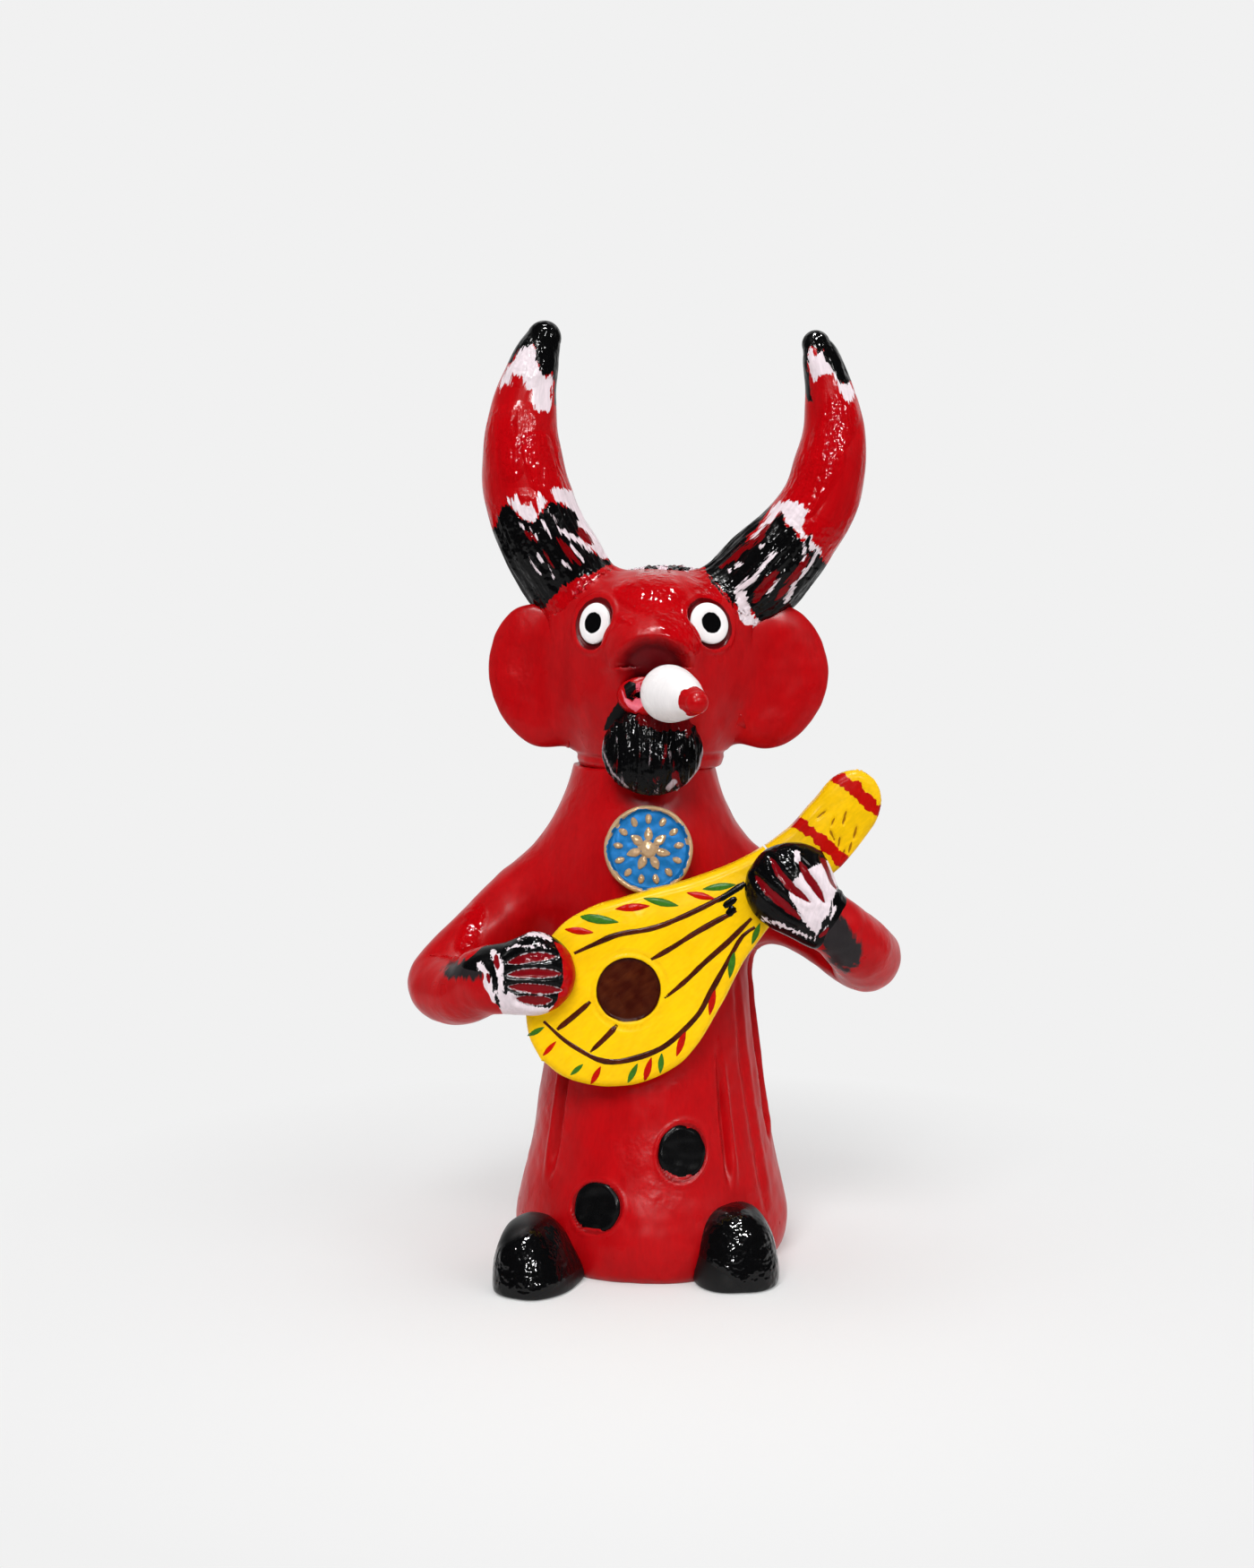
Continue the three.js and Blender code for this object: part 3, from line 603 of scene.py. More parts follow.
FRONT_FOLDS = [
    Fold(-53, 1.6, 1.8, 16, 62, -1), Fold(36, 1.5, 1.5, 15, 46, 1), Fold(56, 0.5, 2.4, 8, 60, 1),
    Fold(77, 1.3, 2.4, 20, 66, 1),
]
BACK_FOLD_ANGLES = [-164, -138, -110, 110, 138, 164]
BACK_FOLDS = [Fold(angle, 1.5, 2.6, 7, 48, math.copysign(1, angle)) for angle in BACK_FOLD_ANGLES]
FOLD_SWAY, FOLD_WAVE = 0.9, 9.0  # degrees, and over what height
FOLD_START, FOLD_END = 7, 16  # heights over which a fold begins and fades
FOLD_LIP, FOLD_LIP_AWAY = 0.4, 2.3  # share of the depth, and widths from the middle of the fold
FRONT_FAVOUR = 0.35


def turned(profile, sides, closed=False):
    """Turns a profile of (radius, height), with more points on the front."""
    even = np.linspace(-math.pi, math.pi, sides, endpoint=False)
    angle = even - FRONT_FAVOUR * np.sin(even)
    radius, height = np.asarray(profile).T
    x, y = np.outer(radius, np.sin(angle)), -np.outer(radius, np.cos(angle))
    form = loft(np.stack([x, y, np.repeat(height[:, None], sides, 1)], -1), closed)
    poles = np.zeros(0 if closed else 2)
    form.angle = np.r_[np.degrees(np.tile(angle, len(profile))), poles]
    form.row = np.r_[np.repeat(np.arange(len(profile)), sides), poles]
    return form


def press_folds(form, folds, outer):
    """Moves the outer skin in along folds and out along their lips."""
    height = form.points[:, 2]
    inward = np.zeros(len(height))
    for fold in folds:
        sway = FOLD_SWAY * np.sin(height / FOLD_WAVE + fold.angle)
        away = (form.angle - fold.angle - sway + 180) % 360 - 180
        starts = smooth(height, fold.low, fold.low + FOLD_START)
        ends = smooth(height, fold.high - FOLD_END, fold.high)
        lip = FOLD_LIP * ridge(away, fold.lip * FOLD_LIP_AWAY * fold.width, fold.width)
        inward += fold.depth * (starts * (1 - ends)) * (ridge(away, 0, fold.width) - lip)
    radius = np.hypot(form.points[:, 0], form.points[:, 1])
    form.points[:, :2] *= (1 - outer * inward / radius)[:, None]


def robe_depth(height):
    """How much deeper than wide the robe is at a height."""
    return 1 + ROBE_DEEPER * (1 - smooth(height, 0, ROBE_DEEPER_TO))


outer_profile = curve(ROBE_OUTLINE, count=200)
inner_profile = np.vstack([curve(ROBE_NECK, count=8), curve(ROBE_HOLLOW, count=36)])
robe = turned(np.vstack([outer_profile, inner_profile]), sides=340, closed=True)
outer_skin = (robe.row < len(outer_profile)).astype(float)
press_folds(robe, FRONT_FOLDS + BACK_FOLDS, outer_skin)
robe.points[:, 1] *= robe_depth(robe.points[:, 2])
robe.points[:, 0] += ROBE_LEAN * smooth(robe.points[:, 2], ROBE_LEAN_FROM, ROBE_LEAN_TO)
robe.keep_skin()
print("the robe is", round(np.ptp(robe.points[:, 0]), 1), "mm wide at its foot")

# %% [markdown]
# ## The arms
# Each arm is a roll of clay, bent at the elbow and smeared on at the shoulder so that no joint shows. A loft
# along a curve makes the roll. Both skins are kept before the smear, because each is pulled towards the
# other as it was.

# %% Bent rolls smeared into the robe
ARM_LEFT_LINE = [
    (-11, 0, 74, 9), (-23.5, -2.5, 69.3, 7.6), (-33, -5.5, 61.8, 6.5), (-40.1, -8.6, 54.2, 6.8),
    (-36.2, -16.6, 53.6, 6.3), (-30.5, -23.5, 56.6, 5.6),
]
ARM_RIGHT_LINE = [
    (10, 0, 73, 8.5), (22.5, -2, 69.2, 7.6), (33.4, -4.5, 63.6, 6.9), (40.3, -9, 59, 6.8),
    (38.9, -16.5, 61.8, 6.3), (34, -22.5, 66.8, 5.6),
]
SHOULDER_SMEAR = 9.0
left_arm = roll(ARM_LEFT_LINE, rows=190, sides=120)
right_arm = roll(ARM_RIGHT_LINE, rows=190, sides=120)
arms = (left_arm, right_arm)
for arm in arms:
    arm.keep_skin()
smear(robe, SHOULDER_SMEAR, *arms)
for arm in arms:
    smear(arm, SHOULDER_SMEAR, robe)
print("points on the arms:", sum(len(arm.points) for arm in arms))

# %% [markdown]
# ## The head
# The head is an egg on the neck. Ears and snout are pads that were smeared on, so they share its skin,
# while horns and eyes keep a crisp joint. Under the nose the clay was pressed back with a thumb. Light
# from above leaves that hollow in shade, and painted shade makes it darker still.

# %% Egg, ears and snout
HEAD_X = -0.4
NECK = 95.4
NECK_SAG = 0.5  # how far the soft clay of the head sank on the neck
HEAD_OUTLINE = [
    (13.2, NECK), (13.8, 95.9), (14.8, 98.5), (16.6, 103.5), (18.2, 109.5), (18.7, 115.5), (18.1, 121.5),
    (16.2, 126.3), (12.8, 129.9), (7.6, 132), (0.4, 132.7),
]
HEAD_BASE = [(0.4, NECK), (6, NECK), (12.6, NECK)]
NECK_SAG_TO = 3  # height above the neck
EAR_DISH, EAR_DISH_EDGE = 1.1, (0.15, 0.85)  # depth, and its slope from the middle
EAR_HALF = (10.5, 3, 13.9)  # of both ears, about
FACE_SMEAR = 5.0
head = turned(np.vstack([curve(HEAD_BASE, count=12), curve(HEAD_OUTLINE, count=190)]), sides=250)
head.points[:, 2] -= NECK_SAG * (1 - smooth(head.points[:, 2], NECK, NECK + NECK_SAG_TO))
head.points[:, 0] += HEAD_X
left_ear = pad((-21.6, -2.5, 112.3), (10, 3, 13.8), (0, -9, -8))
right_ear = pad((22.7, -2.5, 112.1), (11.1, 3, 13.9), (0, 9, 8))
snout = pad((-0.3, -17.4, 118.4), (7.8, 7.0, 5.8))
for ear in (left_ear, right_ear):
    across, _, up = (ear.local / EAR_HALF).T
    dish = 1 - smooth(np.hypot(across, up), *EAR_DISH_EDGE)
    ear.points[:, 1] += np.where(ear.local[:, 1] < 0, EAR_DISH * dish, 0)
for form in (head, left_ear, right_ear, snout):
    form.keep_skin()
smear(head, FACE_SMEAR, left_ear, right_ear, snout)
for form in (left_ear, right_ear, snout):
    smear(form, FACE_SMEAR, head)
print("the head is", round(np.ptp(head.points[:, 2]), 1), "mm high")

# %% Thumb mark under the nose
HOLLOW_AT, HOLLOW_HALF = (729, 746), (46, 38)  # pixels
HOLLOW_TAIL = 1.5  # longer below than above
HOLLOW_DEPTH = 3.3
HOLLOW_TOP, HOLLOW_SIDE, HOLLOW_FOOT = (0.5, 1.08), (0.5, 1.05), (0.25, 1.0)  # its slopes, in half sizes
HOLLOW_FRONT = (10, 13)  # distance in front of the head's middle
# Painted shade: the hollow's darker red begins at this share of the press.
HOLLOW_SHADE_FROM = 0.45  # share from which it is dark


def press_hollow(form):
    """Presses the thumb mark, with a crisp upper edge and a soft lower one, and marks where shade is painted
    in it.
    """
    across, down = ((pixels(form.points) - HOLLOW_AT) / HOLLOW_HALF).T
    upper = 1 - smooth(np.hypot(across, down), *HOLLOW_TOP)
    upper = np.minimum(upper, 1 - smooth(np.abs(across), *HOLLOW_SIDE))
    lower = 1 - smooth(np.hypot(across, down / HOLLOW_TAIL), *HOLLOW_FOOT)
    share = np.where(down < 0, upper, lower) * smooth(-form.points[:, 1], *HOLLOW_FRONT)
    form.points[:, 1] += HOLLOW_DEPTH * share
    # the field of painted shade in the hollow
    form.values["hollow"] = share - HOLLOW_SHADE_FROM


for form in (head, snout):
    press_hollow(form)
print("the hollow is", HOLLOW_DEPTH, "mm deep")

# %% [markdown]
# ## The eyes
# The eyes are flattened pellets pushed into the head, and the push left a ring round each. They could be
# painted on, but the ring catches light, so each pellet presses a seat into the head's points: a floor, a
# groove round it and a raised ring outside the groove. Painted shade darkens the groove.

# %% Pellet eyes in pressed seats
EYE_HEIGHT = 122.7
EYE_SINK, EYE_SEAT = 0.5, 0.2
EYE_THICK, EYE_FLAT = 1.2, 0.6
EYE_TILT = -14  # degrees, with the forehead
EYE_TURN = 0.85  # share of the head's own turn at the eye
Eye = namedtuple("Eye", "x wide high pupil_wide pupil_high")
EYES = {"left_eye": Eye(-11.2, 3.4, 3.9, 1.85, 2.0), "right_eye": Eye(10.8, 4.3, 3.9, 2.2, 2.0)}
PELLET_STEPS = 5
SEAT_REACH = 2  # depth of a seat's points
SEAT_EDGE = (0.3, 1.5)
FAR_AWAY = 99.0  # stands for a point that has no part in a seat
GROOVE_DEPTH, GROOVE_AT, GROOVE_WIDE = 0.4, 0.35, 0.4
RING_HEIGHT, RING_AT, RING_WIDE = 0.3, 1.7, 0.5
# painted shade in the groove round an eye: where it lies and how wide
RING_SHADE_AT, RING_SHADE_HALF = 0.5, 0.6
PUPIL_PRESS, PUPIL_EDGE = 0.22, (-0.4, 0.2)


def press_seat(eye, pellet, at):
    """Presses a pellet's seat. Gives how far the head's points are outside its edge."""
    across, out, up = ((head.points - at) @ pellet.pose).T
    off = (np.hypot(across / eye.wide, up / eye.high) - 1) * ((eye.wide + eye.high) / 2)
    off[out > SEAT_REACH] = FAR_AWAY
    sunk = np.maximum(EYE_SEAT - out, 0) * (1 - smooth(off, *SEAT_EDGE))
    head.points += np.outer(sunk, pellet.pose @ [0, 1, 0])
    raised = RING_HEIGHT * ridge(off, RING_AT, RING_WIDE)
    head.push(raised - GROOVE_DEPTH * ridge(off, GROOVE_AT, GROOVE_WIDE))
    return off


def seat_eye(eye):
    """Makes an eye and its seat. Gives the pellet, and how far the head is outside its edge."""
    reach = np.interp(EYE_HEIGHT, *np.transpose(HEAD_OUTLINE)[::-1])
    angle = math.asin((eye.x - HEAD_X) / reach)
    inner = reach - EYE_SINK
    at = np.array([HEAD_X + inner * math.sin(angle), -inner * math.cos(angle), EYE_HEIGHT])
    turn = (EYE_TILT, 0, EYE_TURN * math.degrees(angle))
    pellet = pad(at, (eye.wide, EYE_THICK, eye.high), turn, PELLET_STEPS)
    rim = np.hypot(pellet.local[:, 0] / eye.wide, pellet.local[:, 2] / eye.high)
    fuller = np.sqrt(np.clip((1 - rim**4) / np.maximum(1 - rim**2, TINY), 1, 2))
    pellet.local[:, 1] *= fuller * EYE_FLAT
    pellet.points = pellet.local @ pellet.pose.T + at
    off = press_seat(eye, pellet, at)
    faces_out = pellet.local[:, 1] < 0
    pupil = pellet.local[:, [0, 2]] / [eye.pupil_wide, eye.pupil_high]
    inside = (1 - np.linalg.norm(pupil, axis=1)) * eye.pupil_high
    pellet.values["pupil"] = np.where(faces_out, inside, -1)
    pellet.points[:, 1] += PUPIL_PRESS * smooth(inside, *PUPIL_EDGE) * faces_out
    return pellet, off


pellets = {}
head.values["ring"] = nowhere(head)
for eye_name, eye in EYES.items():
    pellets[eye_name], outside_eye = seat_eye(eye)
    # painted shade in the groove round this eye
    ring_shade = RING_SHADE_HALF - np.abs(outside_eye - RING_SHADE_AT)
    head.values["ring"] = np.maximum(head.values["ring"], ring_shade)
print("eyes seated:", ", ".join(pellets))

# %% [markdown]
# ## Mouth and cigar
# The lip is a thin roll bent into an oval, and the white plug with a red end was stuck into it before firing.
# An oval roll is a loft that closes on itself. The head behind it is pressed in, so the mouth is a real
# opening from every side, and black is painted there as shade in the mouth, as in the gap inside the lip.

# %% Lip and cigar
LIP_AT = np.array([0.1, -18.4, 109.4])
LIP_WIDE, LIP_HIGH, LIP_ROLL, LIP_DROOP = 5.7, 2.6, 0.95, 0.4
LIP_WAVE, LIP_WAVES = 0.1, 3  # uneven thickness round the lip
LIP_ROWS, LIP_SIDES = 160, 40
LIP_SMEAR = 2.2
# painted shade: black in the gap inside the lip
MOUTH_GAP_SHADE = [(696, 765), (703, 760), (710, 763), (710, 778), (706, 782), (700, 779)]
LIP_INSIDE = [
    (694, 770), (699, 779), (706, 783), (711, 779), (709, 764), (714, 761), (719, 776), (718, 788),
    (709, 795), (702, 789), (697, 783),
]
MOUTH_DEPTH, MOUTH_FRONT = 1.2, -10  # the head has no mouth behind this Y
CIGAR_LINE = [
    (0.9, -19.2, 109.6, 2.4), (1.7, -22.6, 110.2, 4), (2.7, -26, 110.4, 5.2),
    (4.6, -31, 110.1, 4.4), (6.2, -35.5, 109.8, 3.1), (7.3, -38.4, 109.6, 2.1),
]
CIGAR_RED_FROM = 18.8  # along the cigar


def bent_lip():
    round_lip = np.linspace(0, 2 * math.pi, LIP_ROWS, endpoint=False)[:, None]
    over = np.linspace(0, 2 * math.pi, LIP_SIDES, endpoint=False)[None, :]
    swell = LIP_ROLL - LIP_DROOP * np.sin(round_lip) + LIP_WAVE * np.sin(LIP_WAVES * round_lip + 1)
    x = (LIP_WIDE + swell * np.cos(over)) * np.cos(round_lip)
    z = (LIP_HIGH + swell * np.cos(over)) * np.sin(round_lip)
    y = -swell * np.sin(over) + 0 * x
    return loft(np.stack([x, y, z], -1) + LIP_AT, closed=True)


lip = bent_lip()
lip.keep_skin()
smear(lip, LIP_SMEAR, head)
lip.values["gap"] = patch(lip, MOUTH_GAP_SHADE)
lip.values["inner"] = patch(lip, LIP_INSIDE)
# painted shade: black inside the mouth, on the pressed-in head
across, _, up = (head.points - LIP_AT).T
inside_lip = (1 - np.hypot(across / LIP_WIDE, up / LIP_HIGH)) * LIP_HIGH
head.values["mouth"] = np.where(head.points[:, 1] < MOUTH_FRONT, inside_lip, OUTSIDE)
head.push(-MOUTH_DEPTH * smooth(head.values["mouth"], 0, 1))
cigar = roll(CIGAR_LINE, rows=120, sides=96)
cigar.roughen(high=0.12, wide=5, seed=3)
cigar.values["glow"] = cigar.along - CIGAR_RED_FROM
print("the cigar is", round(np.ptp(cigar.along), 1), "mm long")

# %% [markdown]
# ## Beard
# A pad on the chin, combed downwards with a toothed tool while wet. The grooves wander a little, so they
# come from noise that is narrow across the beard and long down it. The same noise, a little wider or
# narrower, says where the black was thin and where pale specks show. The specks are partly white left by a
# dry brush and partly painted glints.

# %% Combed beard
COMB_MARK = np.array([0.75, 4, 7])  # width, depth and length of a comb mark
COMB_DEPTH, COMB_FRONT = 0.62, (-1, 1.5)
FINE_COMB, FINE_SHARE = [2.1, 1, 1.6], 0.5
# Pale specks: partly white paint from a dry brush, partly painted glints on the combed black.
FLECK_GLINT_COMB, FLECK_GLINT_HIGH, FLECK_GLINT_BAR = [1.4, 1, 0.9], 0.5, 0.4  # paint shows above the bar
SHEEN_COMB, SHEEN_HIGH, SHEEN_BAR = [0.9, 1, 1], 0.45, 0.27
SHEEN_FADE = 0.02  # rise of the bar for each mm from the middle
BEARD_SQUEEZE = 0.2  # stretches the brush's pattern
BEARD_RIM = [
    ([(681, 797), (673, 813), (673, 838), (683, 862), (701, 879)], 2, 0.3),
    ([(784, 801), (787, 828), (779, 859), (765, 878), (748, 887)], 2.5, 0.3),
    ([(753, 873), (746, 880)], 6),
]
BEARD_DRIP = [
    ([(771, 790), (770, 808), (767, 822)], 7, 0.4), ([(718, 801), (735, 808), (766, 808)], 15),
    ([(755, 866), (756, 874)], 8),
]
beard = pad((-0.2, -18.2, 99.2), (9.4, 4.8, 8.3), (-10, 0, 0))
comb = beard.points * (1 / COMB_MARK)
teeth = lumps(comb, 1, 4) + FINE_SHARE * lumps(comb * FINE_COMB, 1, 5)
beard.push(COMB_DEPTH * teeth * smooth(-beard.local[:, 1], *COMB_FRONT))
# pale specks, partly white paint and partly painted glints
beard.values["fleck"] = FLECK_GLINT_HIGH * lumps(comb * FLECK_GLINT_COMB, 1, 6) - FLECK_GLINT_BAR
sheen_bar = SHEEN_BAR + SHEEN_FADE * np.abs(beard.local[:, 0])
beard.values["sheen"] = SHEEN_HIGH * lumps(comb * SHEEN_COMB, 1, 8) - sheen_bar
beard.values["rim"] = strokes(beard, BEARD_RIM)
beard.values["drip"] = strokes(beard, BEARD_DRIP)
beard.values[BRUSH] = beard.points * [1, 1, BEARD_SQUEEZE]
print("the beard is", round(np.ptp(beard.points[:, 2]), 1), "mm high")

# %% [markdown]
# ## Horns
# Two tapered rolls, scored lengthwise where they were joined to the crown. They were painted red, then
# white at both ends of the red, then black over the white, with a nearly dry brush pulled along the horn.
# On the front the bands are outlines drawn on the photograph. Behind, an edge is a height and a slope.

# %% Lines and bands of the horns
HORN_LEFT_LINE = [
    (-14.8, 0.5, 128, 8.2), (-17.6, 0, 133, 8.7), (-21.5, -1.2, 140, 8.5), (-24.2, -1.7, 148.5, 8.3),
    (-25, -1.6, 157, 7.2), (-24.1, -1, 165.5, 5.8), (-22.3, -0.5, 172.2, 4.5), (-20.6, 0, 176.5, 3.3),
]
HORN_RIGHT_LINE = [
    (15.5, 0.5, 127, 8), (21.4, 0, 132.2, 8.7), (27.3, -1.2, 138.6, 7.9), (31.7, -1.8, 145.3, 7.3),
    (33.7, -1.8, 152.3, 6.9), (34.4, -1.4, 159, 5.9), (33.7, -0.9, 165.8, 4.8), (32, -0.4, 172.6, 3.6),
    (31.1, -0.2, 175.2, 2.7),
]
Bands = namedtuple("Bands", "tip_black tip_white base_white base_black edge_drop")
# Behind, an edge is a height on the horn's middle and a rise from left to right.
LEFT_BANDS = Bands((175.6, 0.4), (167.8, -2.8), (146.2, 2.2), (144.4, 1.4), 6)
RIGHT_BANDS = Bands((175.2, 0.5), (168.4, -1.8), (142.2, -5.2), (139.6, -4.8), 7)
# Outlines on the front of each horn, in pixels: black over white over red.
LEFT_WHITE_SHAPES = [
    [
        (572, 402), (577, 394), (585, 382), (594, 382), (599, 392), (602, 408), (610, 422), (618, 414),
        (617, 428), (614, 440), (615, 452), (611, 459), (603, 460), (597, 457), (594, 448), (594, 436),
        (588, 434), (584, 420), (578, 421), (573, 417), (568, 432), (564, 428), (556, 438), (560, 424),
    ],
    [
        (566, 560), (568, 554), (572, 560), (576, 552), (582, 563), (590, 565), (593, 560), (599, 570),
        (602, 575), (597, 584), (586, 580), (576, 571),
    ],
    [(602, 549), (606, 551), (612, 560), (608, 567), (603, 572), (601, 562)],
    [
        (614, 547), (622, 543), (632, 546), (646, 552), (658, 580), (672, 600), (696, 622), (682, 626),
        (670, 623), (654, 606), (645, 590), (642, 574), (630, 563), (618, 560),
    ],
]
# Down the right edge of the tip, the first outline is partly black paint and partly painted shade along the
# edge.
LEFT_BLACK_AND_SHADE_SHAPES = [
    [
        (560, 404), (568, 388), (576, 370), (588, 354), (602, 342), (616, 340), (632, 350), (642, 376),
        (640, 402), (636, 430), (630, 456), (618, 452), (618, 427), (616, 416), (609, 420), (603, 414),
        (599, 402), (598, 388), (594, 383), (589, 388), (586, 383), (580, 391), (576, 398), (572, 406),
    ],
    [
        (540, 600), (553, 590), (557, 576), (559, 567), (566, 561), (572, 567), (578, 576), (588, 582),
        (597, 584), (602, 575), (608, 567), (614, 559), (624, 562), (633, 566), (641, 572), (645, 586),
        (653, 606), (668, 621), (686, 629), (677, 632), (665, 639), (644, 646), (625, 656), (619, 665),
        (610, 677), (597, 688), (586, 684), (560, 650),
    ],
]
RIGHT_WHITE_SHAPES = [
    [
        (899, 402), (902, 391), (905, 385), (909, 393), (912, 398), (915, 391), (919, 391), (922, 401),
        (932, 414), (928, 418), (921, 416), (915, 421), (911, 425), (907, 420), (903, 410),
    ],
    [
        (929, 411), (935, 420), (940, 429), (948, 421), (955, 438), (953, 447), (948, 449), (942, 444),
        (934, 431),
    ],
    [
        (862, 566), (870, 561), (878, 559), (897, 561), (901, 570), (898, 580), (896, 590), (899, 599),
        (895, 603), (889, 593), (878, 587), (873, 571), (862, 583), (852, 597), (836, 612), (834, 606),
        (850, 586),
    ],
    [(898, 598), (906, 598), (908, 607), (913, 610), (918, 622), (912, 618), (904, 616), (899, 607)],
]
RIGHT_BLACK_SHAPES = [
    [
        (868, 550), (859, 568), (846, 586), (832, 603), (812, 620), (788, 632), (776, 626), (800, 606),
        (826, 588), (850, 562),
    ],
    [
        (884, 395), (888, 374), (898, 358), (912, 350), (928, 360), (940, 378), (952, 398), (960, 418),
        (945, 429), (939, 427), (933, 417), (927, 408), (922, 403), (919, 391), (914, 395), (911, 388),
        (905, 386), (902, 394), (903, 416), (905, 432), (908, 450), (901, 447), (896, 430), (894, 410),
    ],
    [
        (873, 571), (877, 586), (886, 589), (894, 603), (899, 604), (905, 596), (903, 616), (909, 612),
        (919, 624), (926, 636), (914, 655), (898, 672), (884, 688), (880, 704), (866, 706), (858, 700),
        (846, 691), (836, 676), (822, 677), (814, 672), (805, 661), (794, 650), (788, 638), (780, 630),
        (815, 612), (845, 599), (862, 583),
    ],
]
WHITE_DRIP = [
    (820, 661), (828, 657), (834, 662), (835, 676), (839, 685), (847, 692), (841, 698), (833, 698),
    (826, 692), (823, 682),
]
# Brush touches over the black foot of each horn: pixels, and a width in pixels.
LEFT_WHITE_MARKS = [
    ([(622, 588), (632, 596), (645, 603), (662, 617)], 5.5), ([(612, 570), (620, 581), (624, 587)], 2),
    ([(581, 583), (586, 591)], 2), ([(589, 586), (600, 602)], 2), ([(600, 619), (608, 630)], 4),
    ([(590, 622), (603, 640)], 2.5), ([(611, 629), (618, 644)], 2), ([(606, 580), (619, 605)], 1.8),
    ([(636, 608), (651, 627)], 2.5), ([(628, 626), (638, 635)], 3),
]
LEFT_RED_MARKS = [
    ([(646, 590), (660, 607)], 10), ([(624, 602), (636, 618), (647, 630)], 7),
    ([(587, 593), (599, 605)], 5), ([(605, 615), (621, 635)], 3),
]
RIGHT_WHITE_MARKS = [
    ([(866, 616), (850, 634), (838, 649)], 5), ([(848, 638), (834, 651), (821, 661)], 7),
    ([(898, 604), (897, 625)], 3), ([(915, 612), (905, 630), (892, 646)], 4), ([(889, 649), (875, 674)], 5),
    ([(871, 644), (857, 666)], 3), ([(821, 633), (827, 628)], 5), ([(813, 634), (815, 639)], 4),
    ([(847, 613), (853, 608)], 4),
]
RIGHT_RED_MARKS = [
    ([(858, 586), (847, 600), (828, 615), (805, 633)], 7), ([(867, 639), (852, 655), (841, 673)], 11),
    ([(903, 619), (893, 636), (880, 652), (867, 669)], 7),
]
Horn = namedtuple("Horn", "line bands white_shapes black_shapes white_marks red_marks seed")
LEFT_HORN = Horn(
    HORN_LEFT_LINE, LEFT_BANDS,
    LEFT_WHITE_SHAPES, LEFT_BLACK_AND_SHADE_SHAPES, LEFT_WHITE_MARKS, LEFT_RED_MARKS, seed=11,
)
RIGHT_HORN = Horn(
    HORN_RIGHT_LINE, RIGHT_BANDS,
    RIGHT_WHITE_SHAPES, RIGHT_BLACK_SHAPES, RIGHT_WHITE_MARKS, RIGHT_RED_MARKS, seed=17,
)
print("touches on the left horn:", len(LEFT_WHITE_MARKS + LEFT_RED_MARKS))

# %% Scored and painted horns
HORN_SQUEEZE = 0.12  # stretches the brush's pattern
DRAWN_FACING = 0.1  # a skin that leans further back follows the rule
EDGE_DROP_SIDE = (0.6, 0.95)  # where the tip's black drops at the side
BAND_TEAR = 0.2  # share of the distance to an edge, for longer tears
SCORE_DEPTH, SCORE_WIDE = 0.42, 0.85
FINE_SCORE_SHARE, FINE_SCORE_WIDE = 0.6, 0.45
SCORE_STRETCH, SCORE_EDGE = [1, 1, 0.5], (-1.5, 3)
STRIP_WIDE, STRIP_REACH = 1.5, 1.1  # noise of the touches behind
WHITE_STRIP_BAR, WHITE_STRIP_BELOW = 0.45, 0.5  # level of noise, and mm below the black's edge
RED_STRIP_BAR, RED_STRIP_BELOW = 0.5, 2.0
STRIP_TEAR = 0.5  # share of the true distance to that edge
TOUCH_POINTED = 0.7
HORN_SMEAR = 4.0
CROWN_FROM = 115  # height above which the head has horn paint
HORN_FOOT_PAINT = 0.7  # how far it runs on from the horn


def on_front(form, inside, behind):
    """A field drawn on the front of a form, and another where that can't be seen."""
    return np.where(form.normals()[:, 1] < DRAWN_FACING, inside, behind)


def drawn(form, outlines, behind):
    return on_front(form, np.max([patch(form, outline) for outline in outlines], axis=0), behind)


def touched(form, marks, behind):
    return on_front(form, strokes(form, marks, TOUCH_POINTED), behind)


def make_horn(made):
    form = roll(made.line, rows=230, sides=150)
    height, side = form.points[:, 2], np.sin(form.turn)
    section = form.reach[:, None] * np.stack([np.cos(form.turn), side], -1)
    form.values[BRUSH] = np.column_stack([section, HORN_SQUEEZE * form.along])
    *edges, edge_drop = made.bands
    tip_black, tip_white, base_white, base_black = (middle + rise * side for middle, rise in edges)
    tip = tip_black - edge_drop * smooth(np.abs(side), *EDGE_DROP_SIDE)
    base = base_black - height
    white = np.maximum(height - tip_white, base_white - height)
    form.values["white"] = drawn(form, made.white_shapes, BAND_TEAR * white)
    form.values["black"] = drawn(form, made.black_shapes, BAND_TEAR * np.maximum(height - tip, base))
    score = form.values[BRUSH] * SCORE_STRETCH
    fine_score = FINE_SCORE_SHARE * lumps(score, FINE_SCORE_WIDE, made.seed + 1)
    scored = lumps(score, SCORE_WIDE, made.seed) + fine_score
    form.push(SCORE_DEPTH * scored * smooth(base, *SCORE_EDGE))
    form.roughen(high=0.22, wide=6, seed=made.seed + 2)
    strip = STRIP_REACH * lumps(score, STRIP_WIDE, made.seed + 3)
    white_behind = np.minimum(strip - WHITE_STRIP_BAR, STRIP_TEAR * (base - WHITE_STRIP_BELOW))
    red_behind = np.minimum(-strip - RED_STRIP_BAR, STRIP_TEAR * (base - RED_STRIP_BELOW))
    form.values["white_strip"] = touched(form, made.white_marks, white_behind)
    form.values["red_strip"] = touched(form, made.red_marks, red_behind)
    return form


